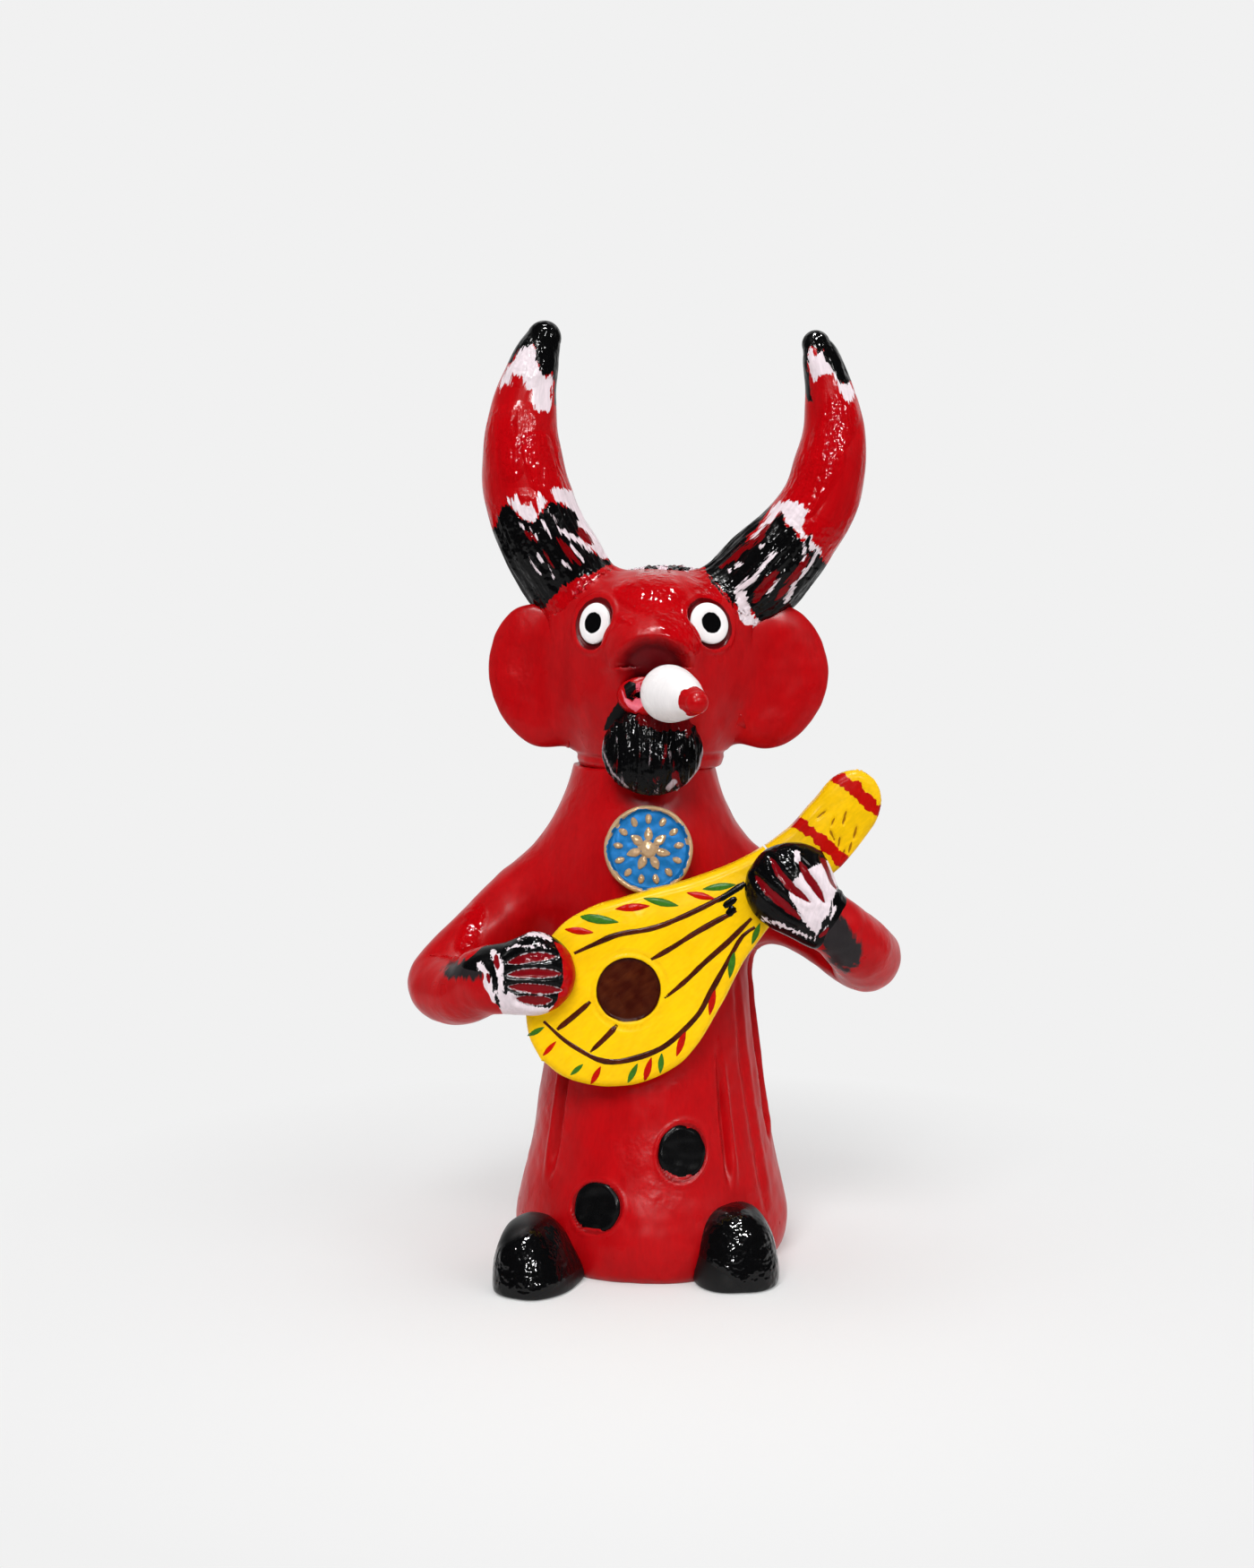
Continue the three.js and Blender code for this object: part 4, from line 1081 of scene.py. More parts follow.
left_horn, right_horn = make_horn(LEFT_HORN), make_horn(RIGHT_HORN)
horns = (left_horn, right_horn)
right_horn.values["white_strip"] = np.maximum(right_horn.values["white_strip"], patch(right_horn, WHITE_DRIP))
for form in (*horns, head):
    form.keep_skin()
for horn in horns:
    smear(horn, HORN_SMEAR, head)
    smear(head, HORN_SMEAR, horn)
crown = np.flatnonzero(head.points[:, 2] > CROWN_FROM)
near_horn = nowhere(head)
for horn in horns:
    outside_horn, _ = gap(head.points[crown], horn)
    near_horn[crown] = np.maximum(near_horn[crown], HORN_FOOT_PAINT - outside_horn)
head.values["horn_foot"] = drawn(head, [LEFT_BLACK_AND_SHADE_SHAPES[-1], RIGHT_BLACK_SHAPES[-1]], near_horn)
print("the horns rise to", round(max(horn.points[:, 2].max() for horn in horns), 1), "mm")

# %% [markdown]
# ## Hands
# Mittens of clay that grip the lute, with cuts for the fingers. The cuts were filled with dark red, the
# knuckles were left black, and white was dragged over the backs. Thin white lines on the black top of the
# left hand are painted highlights. The cuts are drawn on the photograph, and the same lines press the
# groove and carry the paint.

# %% Mitten hands with finger cuts
LEFT_CUTS = [
    [(567, 1074), (592, 1068), (620, 1067)], [(567, 1088), (595, 1086), (626, 1087)],
    [(568, 1102), (596, 1104), (627, 1106)], [(577, 1116), (596, 1118), (616, 1117)],
]
RIGHT_CUTS = [
    [(842, 977), (857, 995), (875, 1010), (893, 1026)], [(860, 957), (870, 975), (885, 992), (904, 1007)],
    [(893, 961), (902, 978), (912, 992), (921, 1007)], [(918, 957), (926, 968), (932, 985), (935, 991)],
]
LEFT_CUT_WIDE, RIGHT_CUT_WIDE = 11, 9.5
WRIST_SMEAR = 4.0
LEFT_WRIST_PULL, LEFT_WRIST = np.array([-3.5, 2.5, 0.5]), (1, 9)
RIGHT_WRIST_PULL, RIGHT_WRIST = np.array([1.87, 1.65, -4.125]), (-1, 9)
WRIST_ASLANT = 0.2  # how far the right wrist is aside for each mm below
WRIST_TAPER, TAPER_BACK, TAPER_UP = 2.4, (-1, 8), (-1, 6)
CUT_DEPTH, CUT_EDGE, CUT_POINTED = 0.55, (-0.55, 0.45), 0.75
FINGER_SWELL, FINGER_AT, FINGER_WIDE = 0.2, -0.8, 0.45


def pull_wrist(hand, towards, pull):
    hand.points += (towards**2)[:, None] * pull


def cut_fingers(hand, cuts, wide, seed):
    """Presses the finger cuts, swells the fingers and marks the paint in the cuts."""
    field = strokes(hand, [(line, wide) for line in cuts], CUT_POINTED)
    hand.roughen(high=0.2, wide=4, seed=seed)
    swell = FINGER_SWELL * ridge(field, FINGER_AT, FINGER_WIDE)
    hand.push(-CUT_DEPTH * smooth(field, *CUT_EDGE) + swell)
    hand.values["cut"] = field


left_hand = pad((-22.9, -26, 58.9), (8.6, 5.6, 7.9), (0, 8, 0))
right_hand = pad((24.9, -26, 75.2), (8.4, 5.6, 7.8), (0, -35, 0))
left_across, _, left_up = left_hand.local.T
right_across, _, right_up = right_hand.local.T
pull_wrist(left_hand, smooth(-left_across, *LEFT_WRIST), LEFT_WRIST_PULL)
right_down = WRIST_ASLANT * right_across - right_up
pull_wrist(right_hand, smooth(right_down, *RIGHT_WRIST), RIGHT_WRIST_PULL)
left_hand.points[:, 2] -= WRIST_TAPER * (smooth(-left_across, *TAPER_BACK) * smooth(left_up, *TAPER_UP))
for form in (*arms, left_hand, right_hand):
    form.keep_skin()
for hand, arm in ((left_hand, left_arm), (right_hand, right_arm)):
    smear(hand, WRIST_SMEAR, arm)
    smear(arm, WRIST_SMEAR, hand)
cut_fingers(left_hand, LEFT_CUTS, LEFT_CUT_WIDE, 21)
cut_fingers(right_hand, RIGHT_CUTS, RIGHT_CUT_WIDE, 22)
print("finger cuts pressed:", len(LEFT_CUTS) + len(RIGHT_CUTS))

# %% Brush marks on hands and cuffs
LEFT_DRAGGED = 0.5  # how pointed the dragged white is
# The first four marks are white paint dragged over the back of the hand. The last four are painted
# highlights: a pale line along the top edge and thin lines on the black top.
LEFT_HAND_WHITE_AND_HIGHLIGHTS = [
    ([(522, 1086), (531, 1105), (541, 1126)], 4), ([(536, 1078), (542, 1100), (549, 1126)], 15),
    ([(561, 1084), (559, 1104), (562, 1128)], 8), ([(550, 1062), (556, 1074), (558, 1090)], 10),
    ([(590, 1042), (605, 1043), (616, 1050)], 6), ([(566, 1059), (580, 1055), (596, 1057)], 2),
    ([(600, 1053), (613, 1059)], 2), ([(579, 1048), (588, 1045)], 2),
]
LEFT_HAND_LOWER = [
    (556, 1132), (560, 1112), (567, 1106), (577, 1111), (588, 1122), (612, 1126), (620, 1119), (614, 1132),
    (596, 1137), (575, 1135),
]
LEFT_HAND_TIPS = [
    (618, 1050), (640, 1062), (645, 1100), (636, 1122), (606, 1136), (622, 1118), (629, 1092), (628, 1070),
]
LEFT_HAND_RED = [([(554, 1065), (555, 1082)], 6, 0.8), ([(544, 1086), (546, 1098)], 4, 0.8)]
LEFT_HAND_BLACK = [([(532, 1078), (534, 1098)], 5, 0.8)]
RIGHT_HAND_BACK = [
    (881, 1002), (884, 984), (892, 975), (904, 970), (914, 964), (925, 960), (936, 986), (931, 1000),
    (926, 1018), (916, 1035), (912, 1047), (897, 1028),
]
RIGHT_HAND_WHITE = [
    ([(852, 1025), (875, 1034), (910, 1049)], 3), ([(889, 950), (891, 962)], 7, 0.5),
    ([(916, 1044), (924, 1032), (932, 1012)], 2),
]
RIGHT_HAND_RED = [([(915, 1046), (925, 1036)], 4, 0.6)]
RIGHT_HAND_BLACK = [([(897, 1035), (914, 1046), (927, 1020)], 4, 0.4)]
LEFT_CUFF = [([(506, 1083), (530, 1083)], 20), ([(530, 1079), (560, 1064)], 16)]
RIGHT_CUFF = [(915, 1050), (929, 1018), (945, 1030), (962, 1056), (958, 1076), (944, 1086), (925, 1072)]
# white paint and painted highlights on the left hand
left_white_and_highlights = strokes(left_hand, LEFT_HAND_WHITE_AND_HIGHLIGHTS, LEFT_DRAGGED)
left_hand.values["white"] = np.maximum(patch(left_hand, LEFT_HAND_LOWER), left_white_and_highlights)
left_hand.values["tips"] = patch(left_hand, LEFT_HAND_TIPS)
right_dragged = strokes(right_hand, RIGHT_HAND_WHITE)
right_hand.values["white"] = np.maximum(patch(right_hand, RIGHT_HAND_BACK), right_dragged)
right_hand.values["tips"] = nowhere(right_hand)
for hand, red_marks, black_marks in (
    (left_hand, LEFT_HAND_RED, LEFT_HAND_BLACK), (right_hand, RIGHT_HAND_RED, RIGHT_HAND_BLACK)
):
    hand.values["mark"] = strokes(hand, red_marks)
    hand.values["dark_mark"] = strokes(hand, black_marks)
left_arm.values["cuff"] = strokes(left_arm, LEFT_CUFF)
right_arm.values["cuff"] = patch(right_arm, RIGHT_CUFF)
print("points of the left hand under white:", int((left_hand.values["white"] > 0).sum()))

# %% [markdown]
# ## The lute
# A pear-shaped slab held across the chest. Its face and back are flat and its edge is rounded over, so its
# thickness at a spot depends only on how far the spot is from the outline. That rule makes the whole slab,
# in rows with a front and a back. Points crowd at the edges and at the rim of the sound hole, where the
# shape turns.

# %% The slab's rule
LUTE_AT = np.array([-4.6, -22.2, 55.4])
LUTE_RISE, LUTE_LEAN = 38.8, 2.5  # degrees
LUTE_THICK, LUTE_EDGE = 5.4, 1.6
LUTE_JOINT = 36.0
LUTE_OUTLINE = [
    (-21, 0, 0), (-19.6, 5.4, 0), (-15.2, 11.2, 0), (-9, 15.2, 0), (-2.5, 16.8, 0), (3.5, 16.2, 0),
    (9, 14.1, 0), (14.5, 11.8, 0), (19.5, 9.5, 0), (25, 7.7, -0.2), (31, 6.2, -0.5), (36, 5.7, -0.7),
    (42, 5.8, -1.1), (47.5, 6, -0.4), (52, 5.9, 0.6), (55.4, 5.3, 1.2), (57.8, 4, 1.6), (59.1, 2.2, 1.8),
    (59.6, 0, 1.9),
]
SOUND_HOLE, SOUND_HOLE_DEPTH = 6.0, 0.9
LUTE_CROWN, LUTE_CROWN_FROM, LUTE_CROWN_TO = 0.5, 0.5, 6  # height, and where it rises
HOLE_EDGE = (-0.25, 0.1)  # the slope at the rim of the sound hole
HOLE_GROOVE, HOLE_GROOVE_AT, HOLE_GROOVE_WIDE = 0.3, 1.1, 0.35
EDGE_SKIP = 3  # every third point is enough to measure from
LUTE_TURN = np.array(Euler((math.radians(90 - LUTE_LEAN), 0, math.radians(LUTE_RISE)), "ZYX").to_matrix())
lute_rows = curve(LUTE_OUTLINE, count=330)
lute_along, lute_half, lute_bend = lute_rows.T
lute_edge = np.vstack([
    np.column_stack([lute_along, lute_bend + lute_half]),
    np.column_stack([lute_along, lute_bend - lute_half])[::-1],
])[::EDGE_SKIP]


def rounded_over(inside):
    """How far the skin of the slab falls back at a distance inside its outline."""
    short = np.clip(LUTE_EDGE - inside, 0, None)
    return LUTE_EDGE - np.sqrt(np.clip(LUTE_EDGE**2 - short**2, 0, None))


def lute_front(spots):
    """How far the face of the lute stands out at flat spots of (along, across)."""
    inside, _ = to_line(spots, lute_edge)
    crown = LUTE_CROWN * smooth(inside, LUTE_CROWN_FROM, LUTE_CROWN_TO)
    out = LUTE_THICK / 2 - rounded_over(inside) + crown
    off = np.linalg.norm(spots, axis=1) - SOUND_HOLE
    out -= SOUND_HOLE_DEPTH * (1 - smooth(off, *HOLE_EDGE))
    return out - HOLE_GROOVE * ridge(off, HOLE_GROOVE_AT, HOLE_GROOVE_WIDE)


def lute_to_figure(points):
    return points @ LUTE_TURN.T + LUTE_AT


print("the lute is", round(np.ptp(lute_along), 1), "mm long")

# %% Body and head of the lute
CROWD_REACH, CROWD_POWER = 1.5, 1.6  # how far from the hole's rim, and how much
SLAB_BACK = 40  # points across the back
LEAST_HALF = 0.12  # half width at which the rows end
LUTE_SQUEEZE = 0.35  # stretches the brush's pattern
HOLE_WORN, HOLE_WORN_WIDE, HOLE_WORN_BAR = 0.9, 1.6, 0.1  # noise of the worn paint
HOLE_WORN_RIM = 0.7  # the rim isn't worn


def across_rows(rows, count, first_side):
    """Flat spots on rows of (along, half width, bend), crowded at both edges."""
    across = np.sin(np.linspace(first_side, -first_side, count) * math.pi / 2)
    along, half, bend = rows[:, :1], rows[:, 1:2], rows[:, 2:]
    return np.stack([along + 0 * across, bend + half * across], -1).reshape(-1, 2)


def crowded(spots):
    """Moves spots near the rim of the sound hole closer to it."""
    far = np.linalg.norm(spots, axis=1)
    off = np.clip(far - SOUND_HOLE, -CROWD_REACH, CROWD_REACH)
    crowd = np.sign(off) * np.abs(off) ** CROWD_POWER / CROWD_REACH ** (CROWD_POWER - 1)
    return spots * (1 + (crowd - off) / np.maximum(far, 0.5))[:, None]


def lute_slab(rows, front_count):
    """One stretch of the slab, from its rows."""
    front_spots = crowded(across_rows(rows, front_count, -1))
    back_spots = across_rows(rows, SLAB_BACK, 1)
    back_inside, _ = to_line(back_spots, lute_edge)
    front = np.column_stack([front_spots, lute_front(front_spots)]).reshape(len(rows), front_count, 3)
    back_level = rounded_over(back_inside) - LUTE_THICK / 2
    back = np.column_stack([back_spots, back_level]).reshape(len(rows), SLAB_BACK, 3)
    form = loft(np.concatenate([front, back], 1))
    form.points = lute_to_figure(form.local)
    form.values[BRUSH] = form.local * [LUTE_SQUEEZE, 1, 1]
    return form


inner_rows = lute_rows[lute_half > LEAST_HALF]
lute_body = lute_slab(inner_rows[inner_rows[:, 0] <= LUTE_JOINT], front_count=120)
lute_head = lute_slab(inner_rows[inner_rows[:, 0] >= LUTE_JOINT], front_count=80)
inside_hole = SOUND_HOLE - np.linalg.norm(lute_body.local[:, :2], axis=1)
lute_body.values["hole"] = np.where(lute_body.local[:, 2] > 0, inside_hole, OUTSIDE)
worn = HOLE_WORN * lumps(lute_body.local, HOLE_WORN_WIDE, 33) - HOLE_WORN_BAR
lute_body.values["hole_worn"] = np.minimum(worn, lute_body.values["hole"] - HOLE_WORN_RIM)
lute_body.roughen(high=0.16, wide=5, seed=31)
lute_head.roughen(high=0.25, wide=5, seed=32)
print("points on the lute:", len(lute_body.points) + len(lute_head.points))

# %% Nicks and bands on the lute's head
LUTE_NICKS = [
    [(912, 913), (922, 905)], [(945, 905), (941, 920)], [(957, 922), (953, 936)], [(943, 948), (940, 960)],
    [(926, 926), (932, 938)], [(932, 912), (928, 922)], [(951, 940), (948, 952)], [(938, 935), (936, 945)],
]
HEAD_BANDS = [[(934, 866), (956, 882), (980, 906)], [(890, 918), (916, 937), (944, 964)]]
NICK_WIDE, NICK_POINTED, NICK_DEPTH, NICK_EDGE = 2.4, 0.6, 0.3, (-0.3, 0.2)
BAND_WIDE = 14  # pixels
nicks = strokes(lute_head, [(line, NICK_WIDE) for line in LUTE_NICKS], NICK_POINTED)
lute_head.push(-NICK_DEPTH * smooth(nicks, *NICK_EDGE))
lute_head.values["nick"] = nicks
lute_head.values["band"] = strokes(lute_head, [(line, BAND_WIDE) for line in HEAD_BANDS])
print("nicks and bands:", len(LUTE_NICKS), "and", len(HEAD_BANDS))

# %% [markdown]
# ## Things that repeat: Geometry Nodes
# Brush lines follow a path, leaf strokes and seeds sit on points, and locks of hair sit on a surface. Each
# is a small node tree with named inputs, so that one tree makes many marks. A tree is run once and its
# result becomes a plain mesh, because a finished piece has to stand without its modifier.

# %% Starting, ending and running a tree
NUMBER, WHOLE, STUFF = "NodeSocketFloat", "NodeSocketInt", "NodeSocketMaterial"
SURFACE = "NodeSocketGeometry"


def start_tree(name, inputs):
    """A new tree with named inputs. Gives a desk and the inputs' sockets."""
    tree = bpy.data.node_groups.new(name, "GeometryNodeTree")
    tree.interface.new_socket("Geometry", in_out="INPUT", socket_type=SURFACE)
    for label, kind in inputs.items():
        tree.interface.new_socket(label, in_out="INPUT", socket_type=kind)
    tree.interface.new_socket("Geometry", in_out="OUTPUT", socket_type=SURFACE)
    desk = Desk(tree)
    return desk, desk.add("NodeGroupInput").outputs


def end_tree(desk, geometry, material):
    real = desk.result("GeometryNodeRealizeInstances", {"Geometry": geometry})
    done = desk.result("GeometryNodeSetMaterial", {"Geometry": real, "Material": material})
    desk.add("NodeGroupOutput", {"Geometry": done})
    return desk.tree


def run_tree(tree, data, settings):
    """Runs a tree on a mesh or a curve. Gives a plain mesh and its points."""
    carrier = bpy.data.objects.new(tree.name, data)
    bpy.context.scene.collection.objects.link(carrier)
    modifier = carrier.modifiers.new(tree.name, "NODES")
    modifier.node_group = tree
    for item in tree.interface.items_tree:
        if item.in_out == "INPUT" and item.name in settings:
            modifier[item.identifier] = settings[item.name]
    ready = carrier.evaluated_get(bpy.context.evaluated_depsgraph_get())
    mesh = bpy.data.meshes.new_from_object(ready)
    carrier.modifiers.remove(modifier)
    bpy.data.objects.remove(carrier)
    points = np.empty(len(mesh.vertices) * 3)
    mesh.vertices.foreach_get("co", points)
    return mesh, points.reshape(-1, 3)


def stand_grown(name, mesh, points, values=None):
    """Moves a grown mesh to its place and makes a piece of it."""
    mesh.name = name
    mesh.vertices.foreach_set("co", to_metres(points).ravel())
    dress(mesh, {BRUSH: points, **(values or {})})
    stand(mesh)


def point_mesh(name, places, **values):
    """Single points that carry values, for a tree to put things on."""
    mesh = bpy.data.meshes.new(name)
    mesh.from_pydata(places.tolist(), [], [])
    dress(mesh, values)
    return mesh


print("a tree takes and gives", SURFACE)

# %% Three trees
LOCK_DENSITY = 4.0  # more than their distance lets through
LOCK_LEAN = (0.25, 0.2, 0.45)  # most that a lock leans each way, in radians


def brush_line_tree():
    """Sweeps a round profile along paths, as thick as the brush was pressed."""
    inputs = {"Width": NUMBER, "Flatness": NUMBER, "Step": NUMBER, "Paint": STUFF}
    desk, given = start_tree("brush_lines", inputs)
    sockets = {"Curve": given["Geometry"], "Length": given["Step"]}
    path = desk.result("GeometryNodeResampleCurve", sockets, mode="LENGTH")
    half = desk.math("MULTIPLY", given["Width"], 0.5)
    profile = desk.result("GeometryNodeCurvePrimitiveCircle", {"Resolution": 10, "Radius": half})
    pressure = desk.point_value("radius")
    sockets = {"Curve": path, "Profile Curve": profile, "Scale": pressure, "Fill Caps": True}
    line = desk.result("GeometryNodeCurveToMesh", sockets)
    scale = desk.vector(X=1.0, Y=1.0, Z=given["Flatness"])
    flat = desk.result("GeometryNodeTransform", {"Geometry": line, "Scale": scale})
    return end_tree(desk, flat, given["Paint"])


def dab_tree():
    """Puts a dab on each point: a ball pinched at both ends."""
    desk, given = start_tree("dabs", {"Pinch": NUMBER, "Height": NUMBER, "Paint": STUFF})
    ball = desk.result("GeometryNodeMeshUVSphere", {"Segments": 16, "Rings": 10, "Radius": 1.0})
    place = desk.add("ShaderNodeSeparateXYZ", {0: desk.result("GeometryNodeInputPosition")}).outputs
    narrow = desk.math("MULTIPLY", desk.math("MULTIPLY", place["X"], place["X"]), given["Pinch"])
    width = desk.math("MULTIPLY", place["Y"], desk.math("SUBTRACT", 1.0, narrow))
    leaf = desk.vector(X=place["X"], Y=width, Z=place["Z"])
    dab = desk.result("GeometryNodeSetPosition", {"Geometry": ball, "Position": leaf})
    turn = desk.vector(Z=desk.point_value("angle"))
    scale = desk.vector(X=desk.point_value("long"), Y=desk.point_value("wide"), Z=given["Height"])
    sockets = {"Points": given["Geometry"], "Instance": dab, "Rotation": turn, "Scale": scale}
    return end_tree(desk, desk.result("GeometryNodeInstanceOnPoints", sockets), given["Paint"])


def lock_tree():
    """Scatters locks over a surface, each leaning its own way."""
    inputs = {"Apart": NUMBER, "Long": NUMBER, "Thick": NUMBER, "Seed": WHOLE, "Paint": STUFF}
    desk, given = start_tree("hair_locks", inputs)
    sockets = {"Mesh": given["Geometry"], "Distance Min": given["Apart"], "Seed": given["Seed"]}
    sockets["Density Max"] = LOCK_DENSITY
    spread = desk.result("GeometryNodeDistributePointsOnFaces", sockets, distribute_method="POISSON")
    lock = desk.result("GeometryNodeMeshUVSphere", {"Segments": 12, "Rings": 8, "Radius": 1.0})
    sockets = {0: tuple(-lean for lean in LOCK_LEAN), 1: LOCK_LEAN, "Seed": given["Seed"]}
    turn = desk.result("FunctionNodeRandomValue", sockets, data_type="FLOAT_VECTOR")
    scale = desk.vector(X=given["Thick"], Y=given["Long"], Z=given["Thick"])
    sockets = {"Points": spread, "Instance": lock, "Rotation": turn, "Scale": scale}
    return end_tree(desk, desk.result("GeometryNodeInstanceOnPoints", sockets), given["Paint"])


lines_tree, dabs_tree, locks_tree = brush_line_tree(), dab_tree(), lock_tree()
print("trees:", ", ".join(tree.name for tree in (lines_tree, dabs_tree, locks_tree)))

# %% [markdown]
# ## Lines and leaves on the lute
# Strings and border are single strokes of thick brown paint, and the border holds short leaf strokes in red
# and green. They stand up from the face, so they are real, flat ridges: a round profile swept along the
# stroke and pressed flat, then laid on the face wherever it curves down to the edge.

# %% Brown lines
LUTE_LINES = [
    [(641, 1064), (663, 1054), (690, 1043), (728, 1036), (758, 1025), (799, 1005), (831, 985)],
    [(727, 1071), (748, 1059), (780, 1039), (822, 1016)],
    [(742, 1114), (764, 1096), (787, 1074), (813, 1051), (839, 1025)],
    [
        (843, 1035), (829, 1045), (817, 1065), (801, 1094), (791, 1112), (780, 1132), (760, 1153),
        (740, 1169), (716, 1179), (689, 1185), (669, 1183), (649, 1173), (629, 1160), (607, 1140),
    ],
    [(659, 1118), (643, 1132), (622, 1149)],
    [(689, 1144), (677, 1157), (659, 1174)],
]
LUTE_SMUDGES = [[(800, 1006), (832, 986)], [(808, 1012), (822, 1002)], [(812, 1022), (820, 1012)]]
LINE_WIDTH, LINE_STEP, LINE_FLATNESS = 1.05, 0.35, 0.3
SMUDGE_WIDTH, SMUDGE_FLATNESS = 1.3, 0.25
PATH_POINTS = 40
WOBBLE, WOBBLE_LONG = 0.22, 3.0  # of the brush's pressure
LEAST_PRESSURE, PRESSED_FROM = 0.55, 0.2  # at a stroke's ends, and their share of it
FACE_MIDDLE = 0.4  # height of the crown, on average


def on_lute(spots):
    """Flat places on the lute's face under pixels of the photograph."""
    across, down = (np.asarray(spots, float) - [PHOTO_WIDE / 2, PHOTO_HIGH / 2]).T / PHOTO_FOCAL
    sine, cosine = math.sin(CAMERA_DOWN), math.cos(CAMERA_DOWN)
    ray = np.column_stack([across, cosine - down * sine, -sine - down * cosine]) @ LUTE_TURN
    start = (CAMERA_AT - LUTE_AT) @ LUTE_TURN
    reach = (LUTE_THICK / 2 + FACE_MIDDLE - start[2]) / ray[:, 2]
    return (start + reach[:, None] * ray)[:, :2]


def brush_path(lines):
    """A curve of brush strokes, pressed harder in the middle."""
    path = bpy.data.curves.new("brush_path", "CURVE")
    path.dimensions = "3D"
    share = np.linspace(0, 1, PATH_POINTS)
    middle = smooth(np.minimum(share, 1 - share), 0, PRESSED_FROM)
    for line in lines:
        spots = curve(on_lute(line), PATH_POINTS)
        spline = path.splines.new("POLY")
        spline.points.add(PATH_POINTS - 1)
        wobble = 1 + WOBBLE * lumps(np.column_stack([spots, 0 * share]), WOBBLE_LONG, 41)
        pressure = (LEAST_PRESSURE + (1 - LEAST_PRESSURE) * middle) * wobble
        for point, (x, y), radius in zip(spline.points, spots, pressure):
            point.co = (x, y, 0, 1)
            point.radius = radius
    return path


def laid_on_lute(points):
    """Lays marks of the lute's own plane on its face."""
    out = lute_front(points[:, :2]) + points[:, 2]
    return lute_to_figure(np.column_stack([points[:, :2], out]))


brown_paint = painted("brown_line_paint", LINE_BROWN, gloss=0.2, mottle=0.55, wrinkle=0.02)
soot_paint = painted("lute_smudge_paint", BLACK, gloss=0.2)
for piece_name, lines, width, flatness, paint in (
    ("lute_lines", LUTE_LINES, LINE_WIDTH, LINE_FLATNESS, brown_paint),
    ("lute_smudges", LUTE_SMUDGES, SMUDGE_WIDTH, SMUDGE_FLATNESS, soot_paint),
):
    settings = {"Width": width, "Flatness": flatness, "Step": LINE_STEP, "Paint": paint}
    grown, grown_points = run_tree(lines_tree, brush_path(lines), settings)
    stand_grown(piece_name, grown, laid_on_lute(grown_points))

# %% Leaf strokes
Leaf = namedtuple("Leaf", "x y long lean")  # pixels, and degrees from level
RED_LEAVES = [
    Leaf(645, 1039, 32, -6), Leaf(706, 1013, 36, 5), Leaf(783, 1000, 30, -12), Leaf(795, 1118, 30, 80),
    Leaf(760, 1165, 32, 72), Leaf(723, 1195, 28, 74), Leaf(665, 1201, 22, 62), Leaf(613, 1171, 22, 48),
]
GREEN_LEAVES = [
    Leaf(667, 1026, 43, -8), Leaf(738, 1007, 36, -12), Leaf(803, 990, 34, 8), Leaf(844, 1043, 24, 70),
    Leaf(817, 1076, 30, 82), Leaf(738, 1187, 22, 86), Leaf(706, 1199, 24, 64), Leaf(644, 1194, 18, 42),
    Leaf(598, 1152, 20, 30),
]
LEAF_LEAST_WIDE, LEAF_WIDE, LEAF_LONGER = 0.25, 0.15, 1.12


def leaf_points(leaves):
    middle = np.array([(leaf.x, leaf.y) for leaf in leaves], float)
    lean = np.radians([leaf.lean for leaf in leaves])
    half = np.array([leaf.long for leaf in leaves])[:, None] * LEAF_LONGER / 2
    tip = np.column_stack([np.cos(lean), -np.sin(lean)]) * half
    start, end = on_lute(middle - tip), on_lute(middle + tip)
    run = end - start
    long = np.linalg.norm(run, axis=1) / 2
    places = np.column_stack([(start + end) / 2, np.zeros(len(leaves))])
    angle = np.arctan2(run[:, 1], run[:, 0])
    return point_mesh("leaf_points", places, angle=angle, long=long, wide=LEAF_LEAST_WIDE + long * LEAF_WIDE)


for tone_name, leaves, tone in (("red", RED_LEAVES, LEAF_RED), ("green", GREEN_LEAVES, LEAF_GREEN)):
    leaf_paint = painted("leaf_" + tone_name, tone, gloss=0.2, mottle=0.25, wrinkle=0.2, shine=FLAT_SHINE)
    settings = {"Pinch": 0.6, "Height": 0.16, "Paint": leaf_paint}
    grown, grown_points = run_tree(dabs_tree, leaf_points(leaves), settings)
    stand_grown("lute_leaves_" + tone_name, grown, laid_on_lute(grown_points))

# %% [markdown]
# ## The medallion
# A pressed plaque with a bronze rim and a blue ground, on which a rosette and a ring of seeds stand up. It
# could be one carved disc, but its parts follow simple rules: the plaque is a turned profile, and seeds and
# petals are dabs on the points of a ring. Lumps then take off the machine-made look.

# %% The plaque
MEDALLION_AT = np.array([-0.9, -18.3, 80.8])
MEDALLION_RADIUS, MEDALLION_THICK, MEDALLION_TILT = 8.3, 3.2, 9.0
RIM_WIDE, GROUND_SUNK = 1.1, 0.75
BOSS_RADIUS, BOSS_HIGH = 1.6, 0.85
PLAQUE_POLE = 0.05  # radius of the hole that a loft's pole closes
FACE_FROM = 1.4  # height from which the skin is its face
FACE_UNEVEN, FACE_LUMP = 0.13, 1.7
ROUND_UNEVEN, ROUND_LUMP = 0.012, 4
BLUE_PAST_RIM, BLUE_PAST_BOSS = 0.25, 0.15
BRONZE_CRINKLE, BLUE_CRINKLE, CRINKLE_STEP = 0.7, 0.1, (-0.5, 0.3)
MEDALLION_POSE = np.array(Euler((math.radians(90 - MEDALLION_TILT), 0, 0)).to_matrix())


def medallion_to_figure(points):
    """From the plaque's own frame, in which Z leaves its face."""
    return (points - [0, 0, MEDALLION_THICK / 2]) @ MEDALLION_POSE.T + MEDALLION_AT


